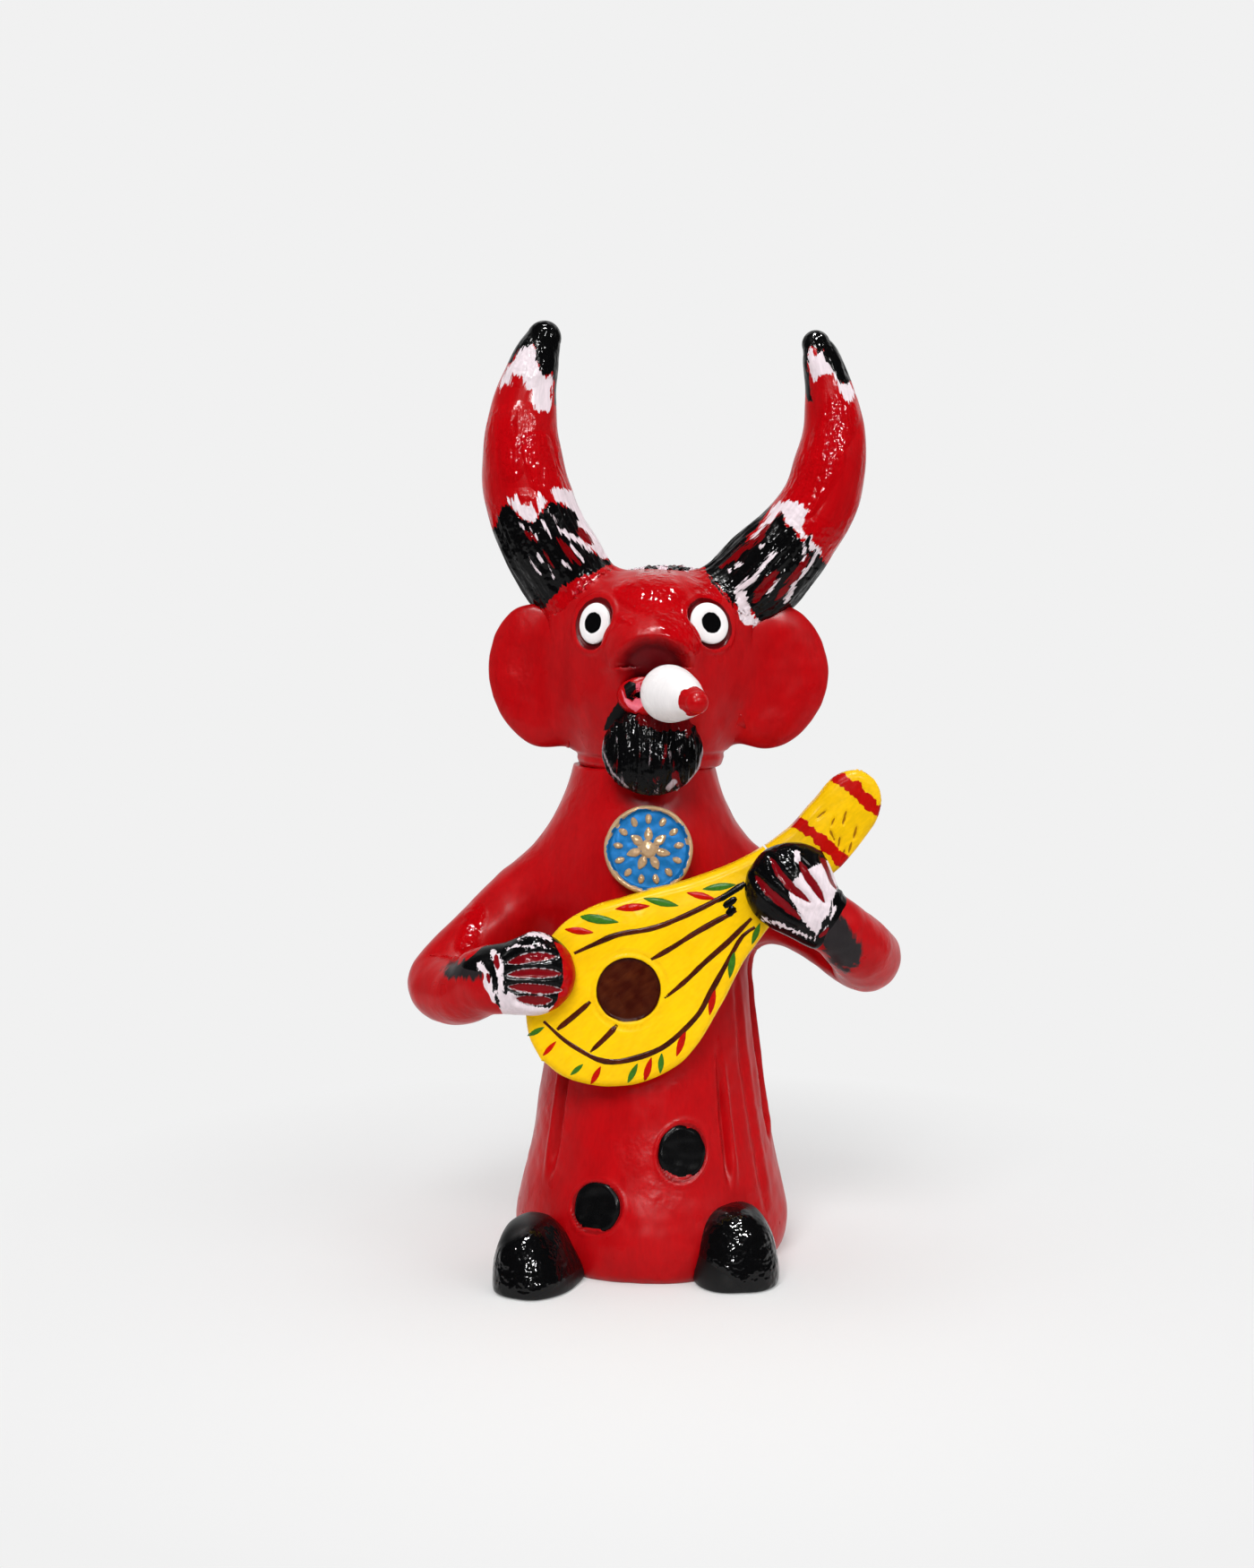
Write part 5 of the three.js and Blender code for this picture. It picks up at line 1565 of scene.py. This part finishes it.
def plaque_profile(rim_inside, ground):
    """Back, edge, rim, ground and boss of the plaque, as (radius, height)."""
    side, top = MEDALLION_RADIUS, MEDALLION_THICK
    return np.vstack([
        curve([(PLAQUE_POLE, 0), (4, 0), (side - 0.3, 0)], 12),
        curve([(side, 0.3), (side, top / 2), (side - 0.1, top - 0.5)], 16),
        curve([(side - 0.25, top - 0.15), (side - 0.5, top), (side - 0.8, top - 0.08),
               (rim_inside, ground + 0.1)], 22),
        curve([(rim_inside - 0.3, ground), (4.5, ground), (BOSS_RADIUS + 0.6, ground)], 30),
        curve([(BOSS_RADIUS, ground + 0.35), (BOSS_RADIUS - 0.5, ground + 0.75),
               (PLAQUE_POLE, ground + BOSS_HIGH)], 16),
    ])


blue_radius = MEDALLION_RADIUS - RIM_WIDE
blue_level = MEDALLION_THICK - GROUND_SUNK
medallion = turned(plaque_profile(blue_radius, blue_level), sides=160)
from_middle = np.linalg.norm(medallion.points[:, :2], axis=1)
on_face = medallion.points[:, 2] > FACE_FROM
medallion.points[:, 2] += FACE_UNEVEN * lumps(medallion.points, FACE_LUMP, 51) * on_face
medallion.points[:, :2] *= (1 + ROUND_UNEVEN * lumps(medallion.points, ROUND_LUMP, 52))[:, None]
in_blue = np.minimum(blue_radius + BLUE_PAST_RIM - from_middle, from_middle - BOSS_RADIUS - BLUE_PAST_BOSS)
medallion.values["ground"] = np.where(on_face, in_blue, OUTSIDE)
blue_share = smooth(medallion.values["ground"], *CRINKLE_STEP)
medallion.values["crinkle"] = BRONZE_CRINKLE - (BRONZE_CRINKLE - BLUE_CRINKLE) * blue_share
medallion.points = medallion_to_figure(medallion.points)
medallion.values[BRUSH] = medallion.points.copy()
blue_layer = Layer("ground", BLUE, 0.6, 1.6)
medallion_paint = painted("medallion_paint", BRONZE, [blue_layer], 0.4, metal=0.1, shine=FLAT_SHINE)
shape("medallion", medallion, medallion_paint)

# %% Seeds and petals
Ring = namedtuple("Ring", "count radius long wide pinch high")
RINGS = {
    "medallion_dots": Ring(13, 5.7, 0.95, 0.62, 0.1, 0.6),
    "medallion_petals": Ring(7, 2.6, 1.6, 0.85, 0.5, 0.55),
}
SEED_UNEVEN, SEED_LUMP, SEED_CRINKLE = 0.12, 0.9, 0.6
bronze_paint = painted("medallion_bronze", BRONZE, gloss=0.2, wrinkle=0.4, metal=0.2, calm=0.3)


def ring_points(ring):
    angle = np.arange(ring.count) * 2 * math.pi / ring.count + math.pi / 2
    places = ring.radius * np.column_stack([np.cos(angle), np.sin(angle), np.zeros(ring.count)])
    long, wide = np.full(ring.count, ring.long), np.full(ring.count, ring.wide)
    return point_mesh("ring_points", places, angle=angle, long=long, wide=wide)


for piece_name, ring in RINGS.items():
    settings = {"Pinch": ring.pinch, "Height": ring.high, "Paint": bronze_paint}
    grown, grown_points = run_tree(dabs_tree, ring_points(ring), settings)
    uneven = grown_points + SEED_UNEVEN * lumps(grown_points, SEED_LUMP, 53)[:, None]
    placed = medallion_to_figure(uneven + [0, 0, blue_level])
    stand_grown(piece_name, grown, placed, {"crinkle": np.full(len(placed), SEED_CRINKLE)})

# %% [markdown]
# ## Buttons
# The buttons are black pellets pressed flush into the robe, with the ring that the press raised. They are
# made as the eyes are: a pellet on the skin, and a seat for it in the points of the piece below. The groove
# at their edge gets painted shade in a darker red.

# %% Buttons in their seats
Button = namedtuple("Button", "x height wide tall")
BUTTONS = {"button_upper": Button(5.5, 24.1, 4.55, 5.1), "button_lower": Button(-10.8, 13.8, 4.75, 4.75)}
BUTTON_HALF, BUTTON_SINK, BUTTON_FLAT = 1.1, 0.7, 0.55
BUTTON_DISH, BUTTON_DISH_EDGE = 0.2, (0.2, 0.8)
BUTTON_WOBBLE = 0.05
SLOPE_STEP = 4  # the robe's slope is measured this far up and down
BUTTON_REACH = 6  # depth of a seat's points
BUTTON_FLOOR, BUTTON_FLOOR_EDGE = 0.9, (-1.4, -0.1)
BUTTON_GROOVE, BUTTON_RING, BUTTON_RING_AT, BUTTON_RING_WIDE = 0.55, 0.22, 0.6, 0.3
# painted shade in the groove round a button: where it lies and how wide
SEAT_SHADE_AT, SEAT_SHADE_HALF = 0.05, 0.3


def seat_button(made, index):
    """Makes a button and its seat. Gives the pellet, and how far the robe is outside its edge."""
    radii, levels = np.transpose(ROBE_OUTLINE)
    reach = np.interp(made.height, levels, radii)
    below = np.interp(made.height - SLOPE_STEP, levels, radii)
    above = np.interp(made.height + SLOPE_STEP, levels, radii)
    slope = math.atan2(below - above, 2 * SLOPE_STEP)
    angle = math.asin(made.x / reach)
    inner = reach - BUTTON_SINK
    depth = inner * math.cos(angle) * robe_depth(made.height)
    at = np.array([inner * math.sin(angle), -depth, made.height])
    lean = np.array(Euler((-slope, 0, angle)).to_matrix())
    button = pad(at, (made.wide, BUTTON_HALF, made.tall), steps=PELLET_STEPS)
    button.local[:, 1] = np.maximum(button.local[:, 1], -BUTTON_FLAT)
    from_middle = np.linalg.norm(button.local[:, [0, 2]] / [made.wide, made.tall], axis=1)
    dish = BUTTON_DISH * (1 - smooth(from_middle, *BUTTON_DISH_EDGE))
    button.local[:, 1] += dish * (button.local[:, 1] < 0)
    button.points = button.local @ lean.T + at
    button.roughen(high=0.22, wide=2.6, seed=61 + index)
    across, out, up = ((robe.points - at) @ lean).T
    up = up * made.wide / made.tall
    edge = made.wide * (1 + BUTTON_WOBBLE * np.sin(2 * np.arctan2(up, across) + index))
    near = (np.abs(out) <= BUTTON_REACH) & (outer_skin > 0)
    off = np.where(near, np.hypot(across, up) - edge, FAR_AWAY)
    raised = BUTTON_RING * ridge(off, BUTTON_RING_AT, BUTTON_RING_WIDE)
    robe.push(raised - BUTTON_GROOVE * ridge(off, 0.0, BUTTON_RING_WIDE))
    robe.push(-BUTTON_FLOOR * (1 - smooth(off, *BUTTON_FLOOR_EDGE)))
    return button, off


buttons = {}
robe.values["seat"] = nowhere(robe)
for index, (button_name, made) in enumerate(BUTTONS.items()):
    buttons[button_name], outside_button = seat_button(made, index)
    # painted shade in the groove round this button
    seat_shade = SEAT_SHADE_HALF - np.abs(outside_button - SEAT_SHADE_AT)
    robe.values["seat"] = np.maximum(robe.values["seat"], seat_shade)
print("buttons pressed in:", len(buttons))

# %% [markdown]
# ## Feet
# Rounded hooves that narrow towards the top and stand flat on the ground. They start as balls, and a power
# above 2 in the formula of the ball makes them fuller. Their varnish pooled and crinkled, which is why
# their highlights are a crowd of small sparks.

# %% Hooves
Foot = namedtuple("Foot", "at half turn lean narrow crinkles")
FEET = {
    "left_foot": Foot(
        np.array([-21.3, -25, 3.2]), np.array([7.4, 10.8, 9.4]), -20, -1.6, 0.34,
        [([(562, 1428), (600, 1408), (644, 1376)], 70)],
    ),
    "right_foot": Foot(
        np.array([15.2, -22.6, 3.7]), np.array([7.9, 9.4, 10.4]), 8, 0.2, 0.24,
        [([(800, 1370), (835, 1394), (862, 1420)], 76)],
    ),
}
FOOT_PLAN, FOOT_TOP, FOOT_SOLE = 2.4, 3.2, 2.4  # 2 is an egg, and more is blockier
FOOT_WIDER, FOOT_NARROWING = 1.06, (-0.3, 1.0)
SOLE_EDGE = 1.2  # height below which the foot is pressed flat


def make_foot(made, index):
    foot = pad(made.at, made.half, (0, 0, made.turn))
    unit = foot.local / made.half
    plan = (np.abs(unit[:, :2]) ** FOOT_PLAN).sum(1) ** (1 / FOOT_PLAN)
    power = np.where(unit[:, 2] > 0, FOOT_TOP, FOOT_SOLE)
    unit /= ((plan**power + np.abs(unit[:, 2]) ** power) ** (1 / power))[:, None]
    rise = smooth(unit[:, 2], *FOOT_NARROWING)
    unit[:, :2] *= (FOOT_WIDER - made.narrow * rise)[:, None]
    foot.points = (unit * made.half) @ foot.pose.T + made.at
    foot.points[:, 0] += made.lean * rise
    foot.roughen(high=0.3, wide=5, seed=71 + index)
    height = foot.points[:, 2]
    pressed = SOLE_EDGE * np.exp((np.minimum(height, SOLE_EDGE) - SOLE_EDGE) / SOLE_EDGE)
    foot.points[:, 2] = np.where(height < SOLE_EDGE, pressed, height)
    foot.points[:, 2] -= foot.points[:, 2].min()
    crinkle(foot, made.crinkles)
    return foot


feet = {foot_name: make_foot(made, index) for index, (foot_name, made) in enumerate(FEET.items())}
print("feet:", ", ".join(feet))

# %% [markdown]
# ## The last touch of the hand
# Before painting, the big red surfaces get the same slow unevenness. It depends on the place alone, so
# skins that were smeared together stay together. Spots of crinkled varnish are marked now too.

# %% Uneven skins and crinkled spots
HAND_UNEVEN, HAND_LUMP = 0.28, 9  # what fingers leave
TOOL_UNEVEN, TOOL_LUMP = 0.1, 2.6  # what a modelling tool leaves
CHIN_BLACK = [(690, 783), (678, 802), (674, 815), (700, 815), (716, 806), (704, 796)]
SEAM_AT, SEAM_HALF = 97.3, 0.35  # of the seam on the neck
SEAM_WAVE, SEAM_WAVE_LONG = 0.3, 5
SEAM_DEPTH, SEAM_EDGE = 0.35, (-0.5, 0.3)
FOREHEAD_CRINKLES = [
    ([(699, 660), (722, 674)], 30), ([(733, 644), (750, 680), (765, 712)], 44),
    ([(778, 650), (794, 668)], 24), ([(693, 690), (704, 693)], 12),
]
CRINKLES = [
    (head, FOREHEAD_CRINKLES),
    (snout, FOREHEAD_CRINKLES),
    (left_horn, [
        ([(566, 478), (570, 524)], 28), ([(598, 498), (618, 552)], 40), ([(575, 600), (630, 650)], 70),
        ([(605, 365), (615, 410)], 24),
    ]),
    (right_horn, [
        ([(938, 462), (918, 520), (885, 572)], 46), ([(905, 610), (830, 675)], 70),
        ([(918, 378), (942, 415)], 20),
    ]),
    (left_arm, [([(531, 1020), (521, 1056)], 26)]),
    (beard, [([(680, 822), (730, 850), (780, 822)], 110)]),
    (left_hand, [([(570, 1062), (620, 1060)], 28)]),
    (right_hand, [([(845, 985), (880, 955)], 36), ([(910, 1020), (930, 1000)], 30)]),
]

for form in (robe, left_arm, right_arm, head, left_ear, right_ear, snout):
    fingers = HAND_UNEVEN * lumps(form.points, HAND_LUMP, 81)
    form.push(fingers + TOOL_UNEVEN * lumps(form.points, TOOL_LUMP, 82))
head.values["chin"] = patch(head, CHIN_BLACK)
head.values["white_drip"] = patch(head, WHITE_DRIP)
seam_height = SEAM_AT + SEAM_WAVE * np.sin(head.points[:, 0] / SEAM_WAVE_LONG)
seam = SEAM_HALF - np.abs(head.points[:, 2] - seam_height)
head.push(-SEAM_DEPTH * smooth(seam, *SEAM_EDGE))
for form, marks in CRINKLES:
    crinkle(form, marks)
print("pieces with crinkled varnish:", len(CRINKLES) + len(feet))

# %% [markdown]
# ## Painting
# Each form becomes a piece with its own mix of layers, in the order that the brush went. Pieces that were
# painted in one go share a paint.

# %% Red surfaces
RED_GLOSS = 0.3


def red_paint(name, layers=()):
    return painted(name, RED, layers, RED_GLOSS, shine=RED_SHINE)


# Painted shade in the thumb hollow under the nose, on head and snout.
hollow_shade_layer = Layer("hollow", HOLLOW_SHADE_RED, 0.15, 1.5, 0.4)
head_layers = [
    hollow_shade_layer,
    # painted shade in the groove round each eye
    Layer("ring", RING_SHADE_RED, 0.12, 1.0),
    # painted shade in the mouth
    Layer("mouth", BLACK, 0.2, 1.0),
    Layer("chin", BLACK, 0.2, 0.8),
    Layer("horn_foot", BLACK, 0.25, 0.8),
    Layer("white_drip", HORN_WHITE, 0.2, 0.8),
]
arm_paint = red_paint("arm_red", [Layer("cuff", WORN_BLACK, 0.9, 1.2, 0.35)])
ear_paint = red_paint("ear_red")
for node, form, paint in (
    # the seat layer is painted shade in the groove round each button
    ("robe", robe, red_paint("robe_red", [Layer("seat", SEAT_SHADE_RED, 0.15, 1.0)])),
    ("left_arm", left_arm, arm_paint),
    ("right_arm", right_arm, arm_paint),
    ("head", head, red_paint("head_red", head_layers)),
    ("left_ear", left_ear, ear_paint),
    ("right_ear", right_ear, ear_paint),
    ("snout", snout, red_paint("snout_red", [hollow_shade_layer])),
):
    shape(node, form, paint)

# %% [markdown]
# ## Paint of the face and the horns
# Beard and horns were painted with a nearly dry brush, so their layers tear widely. Eyes and lip have the
# crisp edges of a wet one. Both are numbers of a layer, so one function makes them.

# %% Face and horns
# the gap layer is painted shade inside the lip
lip_layers = [Layer("inner", LIP_PINK, 0.15, 1.0), Layer("gap", BLACK, 0.12, 0.8)]
shape("lip", lip, painted("lip_red", RED, lip_layers))
cigar_paint = painted("cigar_white", WHITE, [Layer("glow", RED, 0.7, 1.4)], mottle=0.05)
shape("cigar", cigar, cigar_paint)
pupil_layer = Layer("pupil", BLACK, 0.08, 0.8)
eye_paint = painted("eye_white", WHITE, [pupil_layer], 0.12, mottle=0.03, wrinkle=0.04)
for eye_name, pellet in pellets.items():
    shape(eye_name, pellet, eye_paint)
beard_layers = [
    Layer("sheen", DARK_RED, 0.3, 0.8),
    Layer("drip", DARK_RED, 0.5, 0.9),
    # pale specks: partly white paint, partly painted glints
    Layer("fleck", shade(PINK_WHITE, 0.6), 0.2, 0.6, 0.1),
    Layer("rim", shade(PINK_WHITE, 0.5), 0.2, 0.7, 0.1),
]
shape("beard", beard, painted("beard_black", BLACK, beard_layers, dragged=True))
horn_layers = [
    Layer("white", HORN_WHITE, 0.6, 0.5),
    Layer("black", BLACK, 0.45, 0.5),
    Layer("red_strip", STRIP_RED, 0.55, 0.5),
    Layer("white_strip", HORN_WHITE, 0.55, 0.4),
]
horn_varnish = {"wrinkle": 0.3, "calm": 0.42, "shine": HORN_SHINE, "dragged": True}
horn_paint = painted("horn_paint", RED, horn_layers, 0.2, **horn_varnish)
shape("left_horn", left_horn, horn_paint)
shape("right_horn", right_horn, horn_paint)

# %% [markdown]
# ## Paint of the hands, the lute and the black pieces
# White was dragged over the black mittens, and the cuts were filled with dark red last. Thin white lines on
# the left mitten are painted highlights. The paint in the lute's sound hole has worn. Buttons and hooves
# are plain black and differ only in their varnish.

# %% Hands, lute, buttons and feet
hand_layers = [
    # white paint, and on the left hand painted highlights as well
    Layer("white", HORN_WHITE, 0.45, 0.6),
    Layer("dark_mark", BLACK, 0.3, 0.8),
    Layer("tips", RED, 0.25, 1.0),
    Layer("mark", CUT_RED, 0.15, 0.8),
    Layer("cut", CUT_RED, 0.12, 0.8),
]
outline_layer = Layer("cut", shade(HORN_WHITE, 0.6), 0.2, 0.6, 0.04, 0.03)
left_hand_paint = painted("left_hand_black", BLACK, hand_layers + [outline_layer], 0.2, wrinkle=0.3)
right_hand_paint = painted("right_hand_black", BLACK, hand_layers, 0.2, wrinkle=0.3)
lute_layers = [Layer("hole", BROWN, 0.1, 1.2), Layer("hole_worn", WORN_BROWN, 0.4, 1.0, 0.6)]
lute_paint = painted("lute_yellow", YELLOW, lute_layers, mottle=0.09, shine=FLAT_SHINE)
lute_head_layers = [Layer("nick", NICK_YELLOW, 0.1, 0.8), Layer("band", BAND_RED, 0.6, 1.6)]
lute_head_paint = painted("lute_head_yellow", shade(YELLOW, 0.9), lute_head_layers, shine=FLAT_SHINE)
button_paint = painted("button_black", BLACK)
hoof_paint = painted("hoof_black", BLACK, gloss=0.4, shine=HOOF_SHINE)
shape("left_hand", left_hand, left_hand_paint)
shape("right_hand", right_hand, right_hand_paint)
shape("lute_body", lute_body, lute_paint)
shape("lute_head", lute_head, lute_head_paint)
for button_name, button in buttons.items():
    shape(button_name, button, button_paint)
for foot_name, foot in feet.items():
    shape(foot_name, foot, hoof_paint)

# %% [markdown]
# ## Hair
# Between the horns a low pad of clay was roughened into short locks and dabbed with black, white and red.
# Locks sit on a surface, so a tree scatters them over the pad.

# %% Pad and locks
HAIR_ROUGH, HAIR_ROUGH_WIDE, HAIR_COMB = 0.35, 1.3, [1, 0.4, 1]
DAB_WIDE, DAB_COMB, LOCK_DAB_WIDE = 1.6, [1, 0.35, 1], 2.2
LOCKS_FROM = 130.8  # height above which the pad has locks
Dab = namedtuple("Dab", "seed bar lock_seed lock_bar")  # paint shows above a bar
DABS = {"white": Dab(92, 0.25, 94, 0.15), "red": Dab(93, 0.3, 95, 0.2)}
hair = pad((2.6, 4.6, 129.6), (11, 8.2, 3.2), steps=5)
hair.push(HAIR_ROUGH * lumps(hair.points * HAIR_COMB, HAIR_ROUGH_WIDE, 91))
for dab_name, dab in DABS.items():
    hair.values[dab_name] = lumps(hair.points * DAB_COMB, DAB_WIDE, dab.seed) - dab.bar
hair_layers = [Layer("red", DARK_RED, 0.2, 0.8), Layer("white", PINK_WHITE, 0.2, 0.8)]
hair_paint = painted("hair_black", BLACK, hair_layers, 0.22)
shape("hair", hair, hair_paint)
bed = bpy.data.meshes.new("hair_bed")
upper = hair.faces[hair.points[hair.faces].mean(1)[:, 2] > LOCKS_FROM]
bed.from_pydata(hair.points.tolist(), [], upper.tolist())
settings = {"Apart": 1.1, "Long": 1.9, "Thick": 0.62, "Seed": 7, "Paint": hair_paint}
locks, lock_points = run_tree(locks_tree, bed, settings)
lock_values = {}
for dab_name, dab in DABS.items():
    lock_values[dab_name] = lumps(lock_points, LOCK_DAB_WIDE, dab.lock_seed) - dab.lock_bar
stand_grown("hair_locks", locks, lock_points, lock_values)

# %% [markdown]
# ## The floor
# The photograph is a plain studio picture: a pale floor that runs into a pale backdrop. The floor is a real
# surface near the figure, so it takes the shadow, and further out it fades to the colour of the backdrop.

# %% Pale floor
BACKDROP = colour(241, 241, 241)
FLOOR_RADIUS = 0.3  # metres
FLOOR_SIDES = 64
FLOOR_FADE = (0.06, 0.15)  # metres from the figure
FLOOR_TONE = 0.82
FLOOR_GLOW = 0.3  # share of the backdrop next to the figure


def seen_rays(desk, mirrored=1.0):
    """1 for rays that show the backdrop: the camera's, and a share of mirrored ones."""
    rays = desk.add("ShaderNodeLightPath").outputs
    sent_on = desk.math("MAXIMUM", rays["Is Glossy Ray"], rays["Is Transmission Ray"])
    return desk.math("MAXIMUM", rays["Is Camera Ray"], desk.math("MULTIPLY", sent_on, mirrored))


def pale_floor():
    material = bpy.data.materials.new("pale_floor")
    material.use_nodes = True
    desk = Desk(material.node_tree)
    nodes = material.node_tree.nodes
    paper = nodes["Principled BSDF"]
    paper.inputs["Base Color"].default_value = (FLOOR_TONE, FLOOR_TONE, FLOOR_TONE, 1)
    paper.inputs["Roughness"].default_value = 0.9
    paper.inputs["Specular IOR Level"].default_value = 0.1
    place = desk.add("ShaderNodeTexCoord").outputs["Object"]
    far = desk.add("ShaderNodeVectorMath", {0: place}, operation="LENGTH").outputs["Value"]
    fade = desk.math("MULTIPLY", desk.spread(far, *FLOOR_FADE, FLOOR_GLOW, 1.0), seen_rays(desk))
    glow = desk.result("ShaderNodeEmission", {"Color": BACKDROP})
    mixed = desk.result("ShaderNodeMixShader", {0: fade, 1: paper.outputs[0], 2: glow})
    desk.tree.links.new(mixed, nodes["Material Output"].inputs["Surface"])
    return material


floor_turn = np.linspace(0, 2 * math.pi, FLOOR_SIDES, endpoint=False)
floor_edge = np.column_stack([np.cos(floor_turn), np.sin(floor_turn), 0 * floor_turn]) * FLOOR_RADIUS
floor_mesh = bpy.data.meshes.new("floor")
floor_mesh.from_pydata(floor_edge.tolist(), [], [tuple(range(FLOOR_SIDES))])
floor_mesh.materials.append(pale_floor())
floor = bpy.data.objects.new("floor", floor_mesh)
bpy.context.scene.collection.objects.link(floor)
print("floor:", 2 * FLOOR_RADIUS, "m wide")

# %% [markdown]
# ## The light
# Soft light comes from the front and above. The side where the camera stands is dark, which keeps the front
# of the paint deep, and small hard lamps make the sparks on the varnish. One lamp can't be both, so large
# lamps only light the paint and small ones only shine in the varnish. The room adds a little light.

# %% Studio room
ROOM_LIGHT, ROOM_TOP, ROOM_SIDES, ROOM_FRONT = 0.1, 0.15, 1.2, 0.1
FRONT_RANGE = (-0.9, 0.1)  # from the dark side to full light
BEHIND_RANGE = (0.3, 0.75)  # to the backdrop, as mirrors show it
world = bpy.data.worlds.new("studio")
bpy.context.scene.world = world
world.use_nodes = True
room = Desk(world.node_tree)
way = room.add("ShaderNodeTexCoord").outputs["Generated"]
way_x, way_y, way_z = room.add("ShaderNodeSeparateXYZ", {0: way}).outputs
overhead = room.math("MULTIPLY", room.spread(way_z, 0.0, 1.0), ROOM_TOP)
level = room.math("SUBTRACT", 1.0, room.math("MULTIPLY", way_z, way_z))
sides = room.math("MULTIPLY", room.math("MULTIPLY", room.math("MULTIPLY", way_x, way_x), level), ROOM_SIDES)
light = room.math("ADD", room.math("ADD", overhead, sides), ROOM_LIGHT)
light = room.math("MULTIPLY", light, room.spread(way_y, *FRONT_RANGE, ROOM_FRONT, 1.0))
unlit = room.blend(seen_rays(room), light, colour(0, 0, 0))
shown = room.blend(seen_rays(room, room.spread(way_y, *BEHIND_RANGE)), unlit, BACKDROP)
room.tree.links.new(shown, world.node_tree.nodes["Background"].inputs["Color"])
bpy.context.scene.view_settings.view_transform = "Standard"
print("the room's nodes:", len(world.node_tree.nodes))

# %% Lamps
Lamp = namedtuple("Lamp", "at size power lights shines")  # metres, watts, and what it does on paint
LAMPS = {
    "key": Lamp((-0.2, -0.82, 0.8), 0.45, 8.9, True, False),
    "fill": Lamp((0.6, -0.55, 0.55), 0.7, 2.8, True, False),
    "top": Lamp((0.05, 0.1, 1.0), 0.8, 2.6, True, False),
    "spark_top": Lamp((0.08, -0.16, 1.05), 0.1, 15.0, False, True),
    "spark_left": Lamp((-0.2, -0.5, 0.88), 0.1, 8.0, False, True),
    "spark_right": Lamp((0.34, -0.7, 0.6), 0.1, 6.0, False, True),
    "spark_front": Lamp((-0.05, -0.8, 0.42), 0.1, 4.5, False, True),
}
AIM = Vector((0, 0, 0.09))
for lamp_name, made in LAMPS.items():
    lamp = bpy.data.lights.new(lamp_name, "AREA")
    lamp.size = made.size
    lamp.energy = made.power
    holder = bpy.data.objects.new(lamp_name, lamp)
    holder.location = made.at
    holder.rotation_euler = (AIM - Vector(made.at)).to_track_quat("-Z", "Y").to_euler()
    holder.visible_diffuse = made.lights
    holder.visible_glossy = made.shines
    bpy.context.scene.collection.objects.link(holder)
print("lamps:", ", ".join(LAMPS))

# %% [markdown]
# ## Measuring
# The painted figure has to be the size of the model.
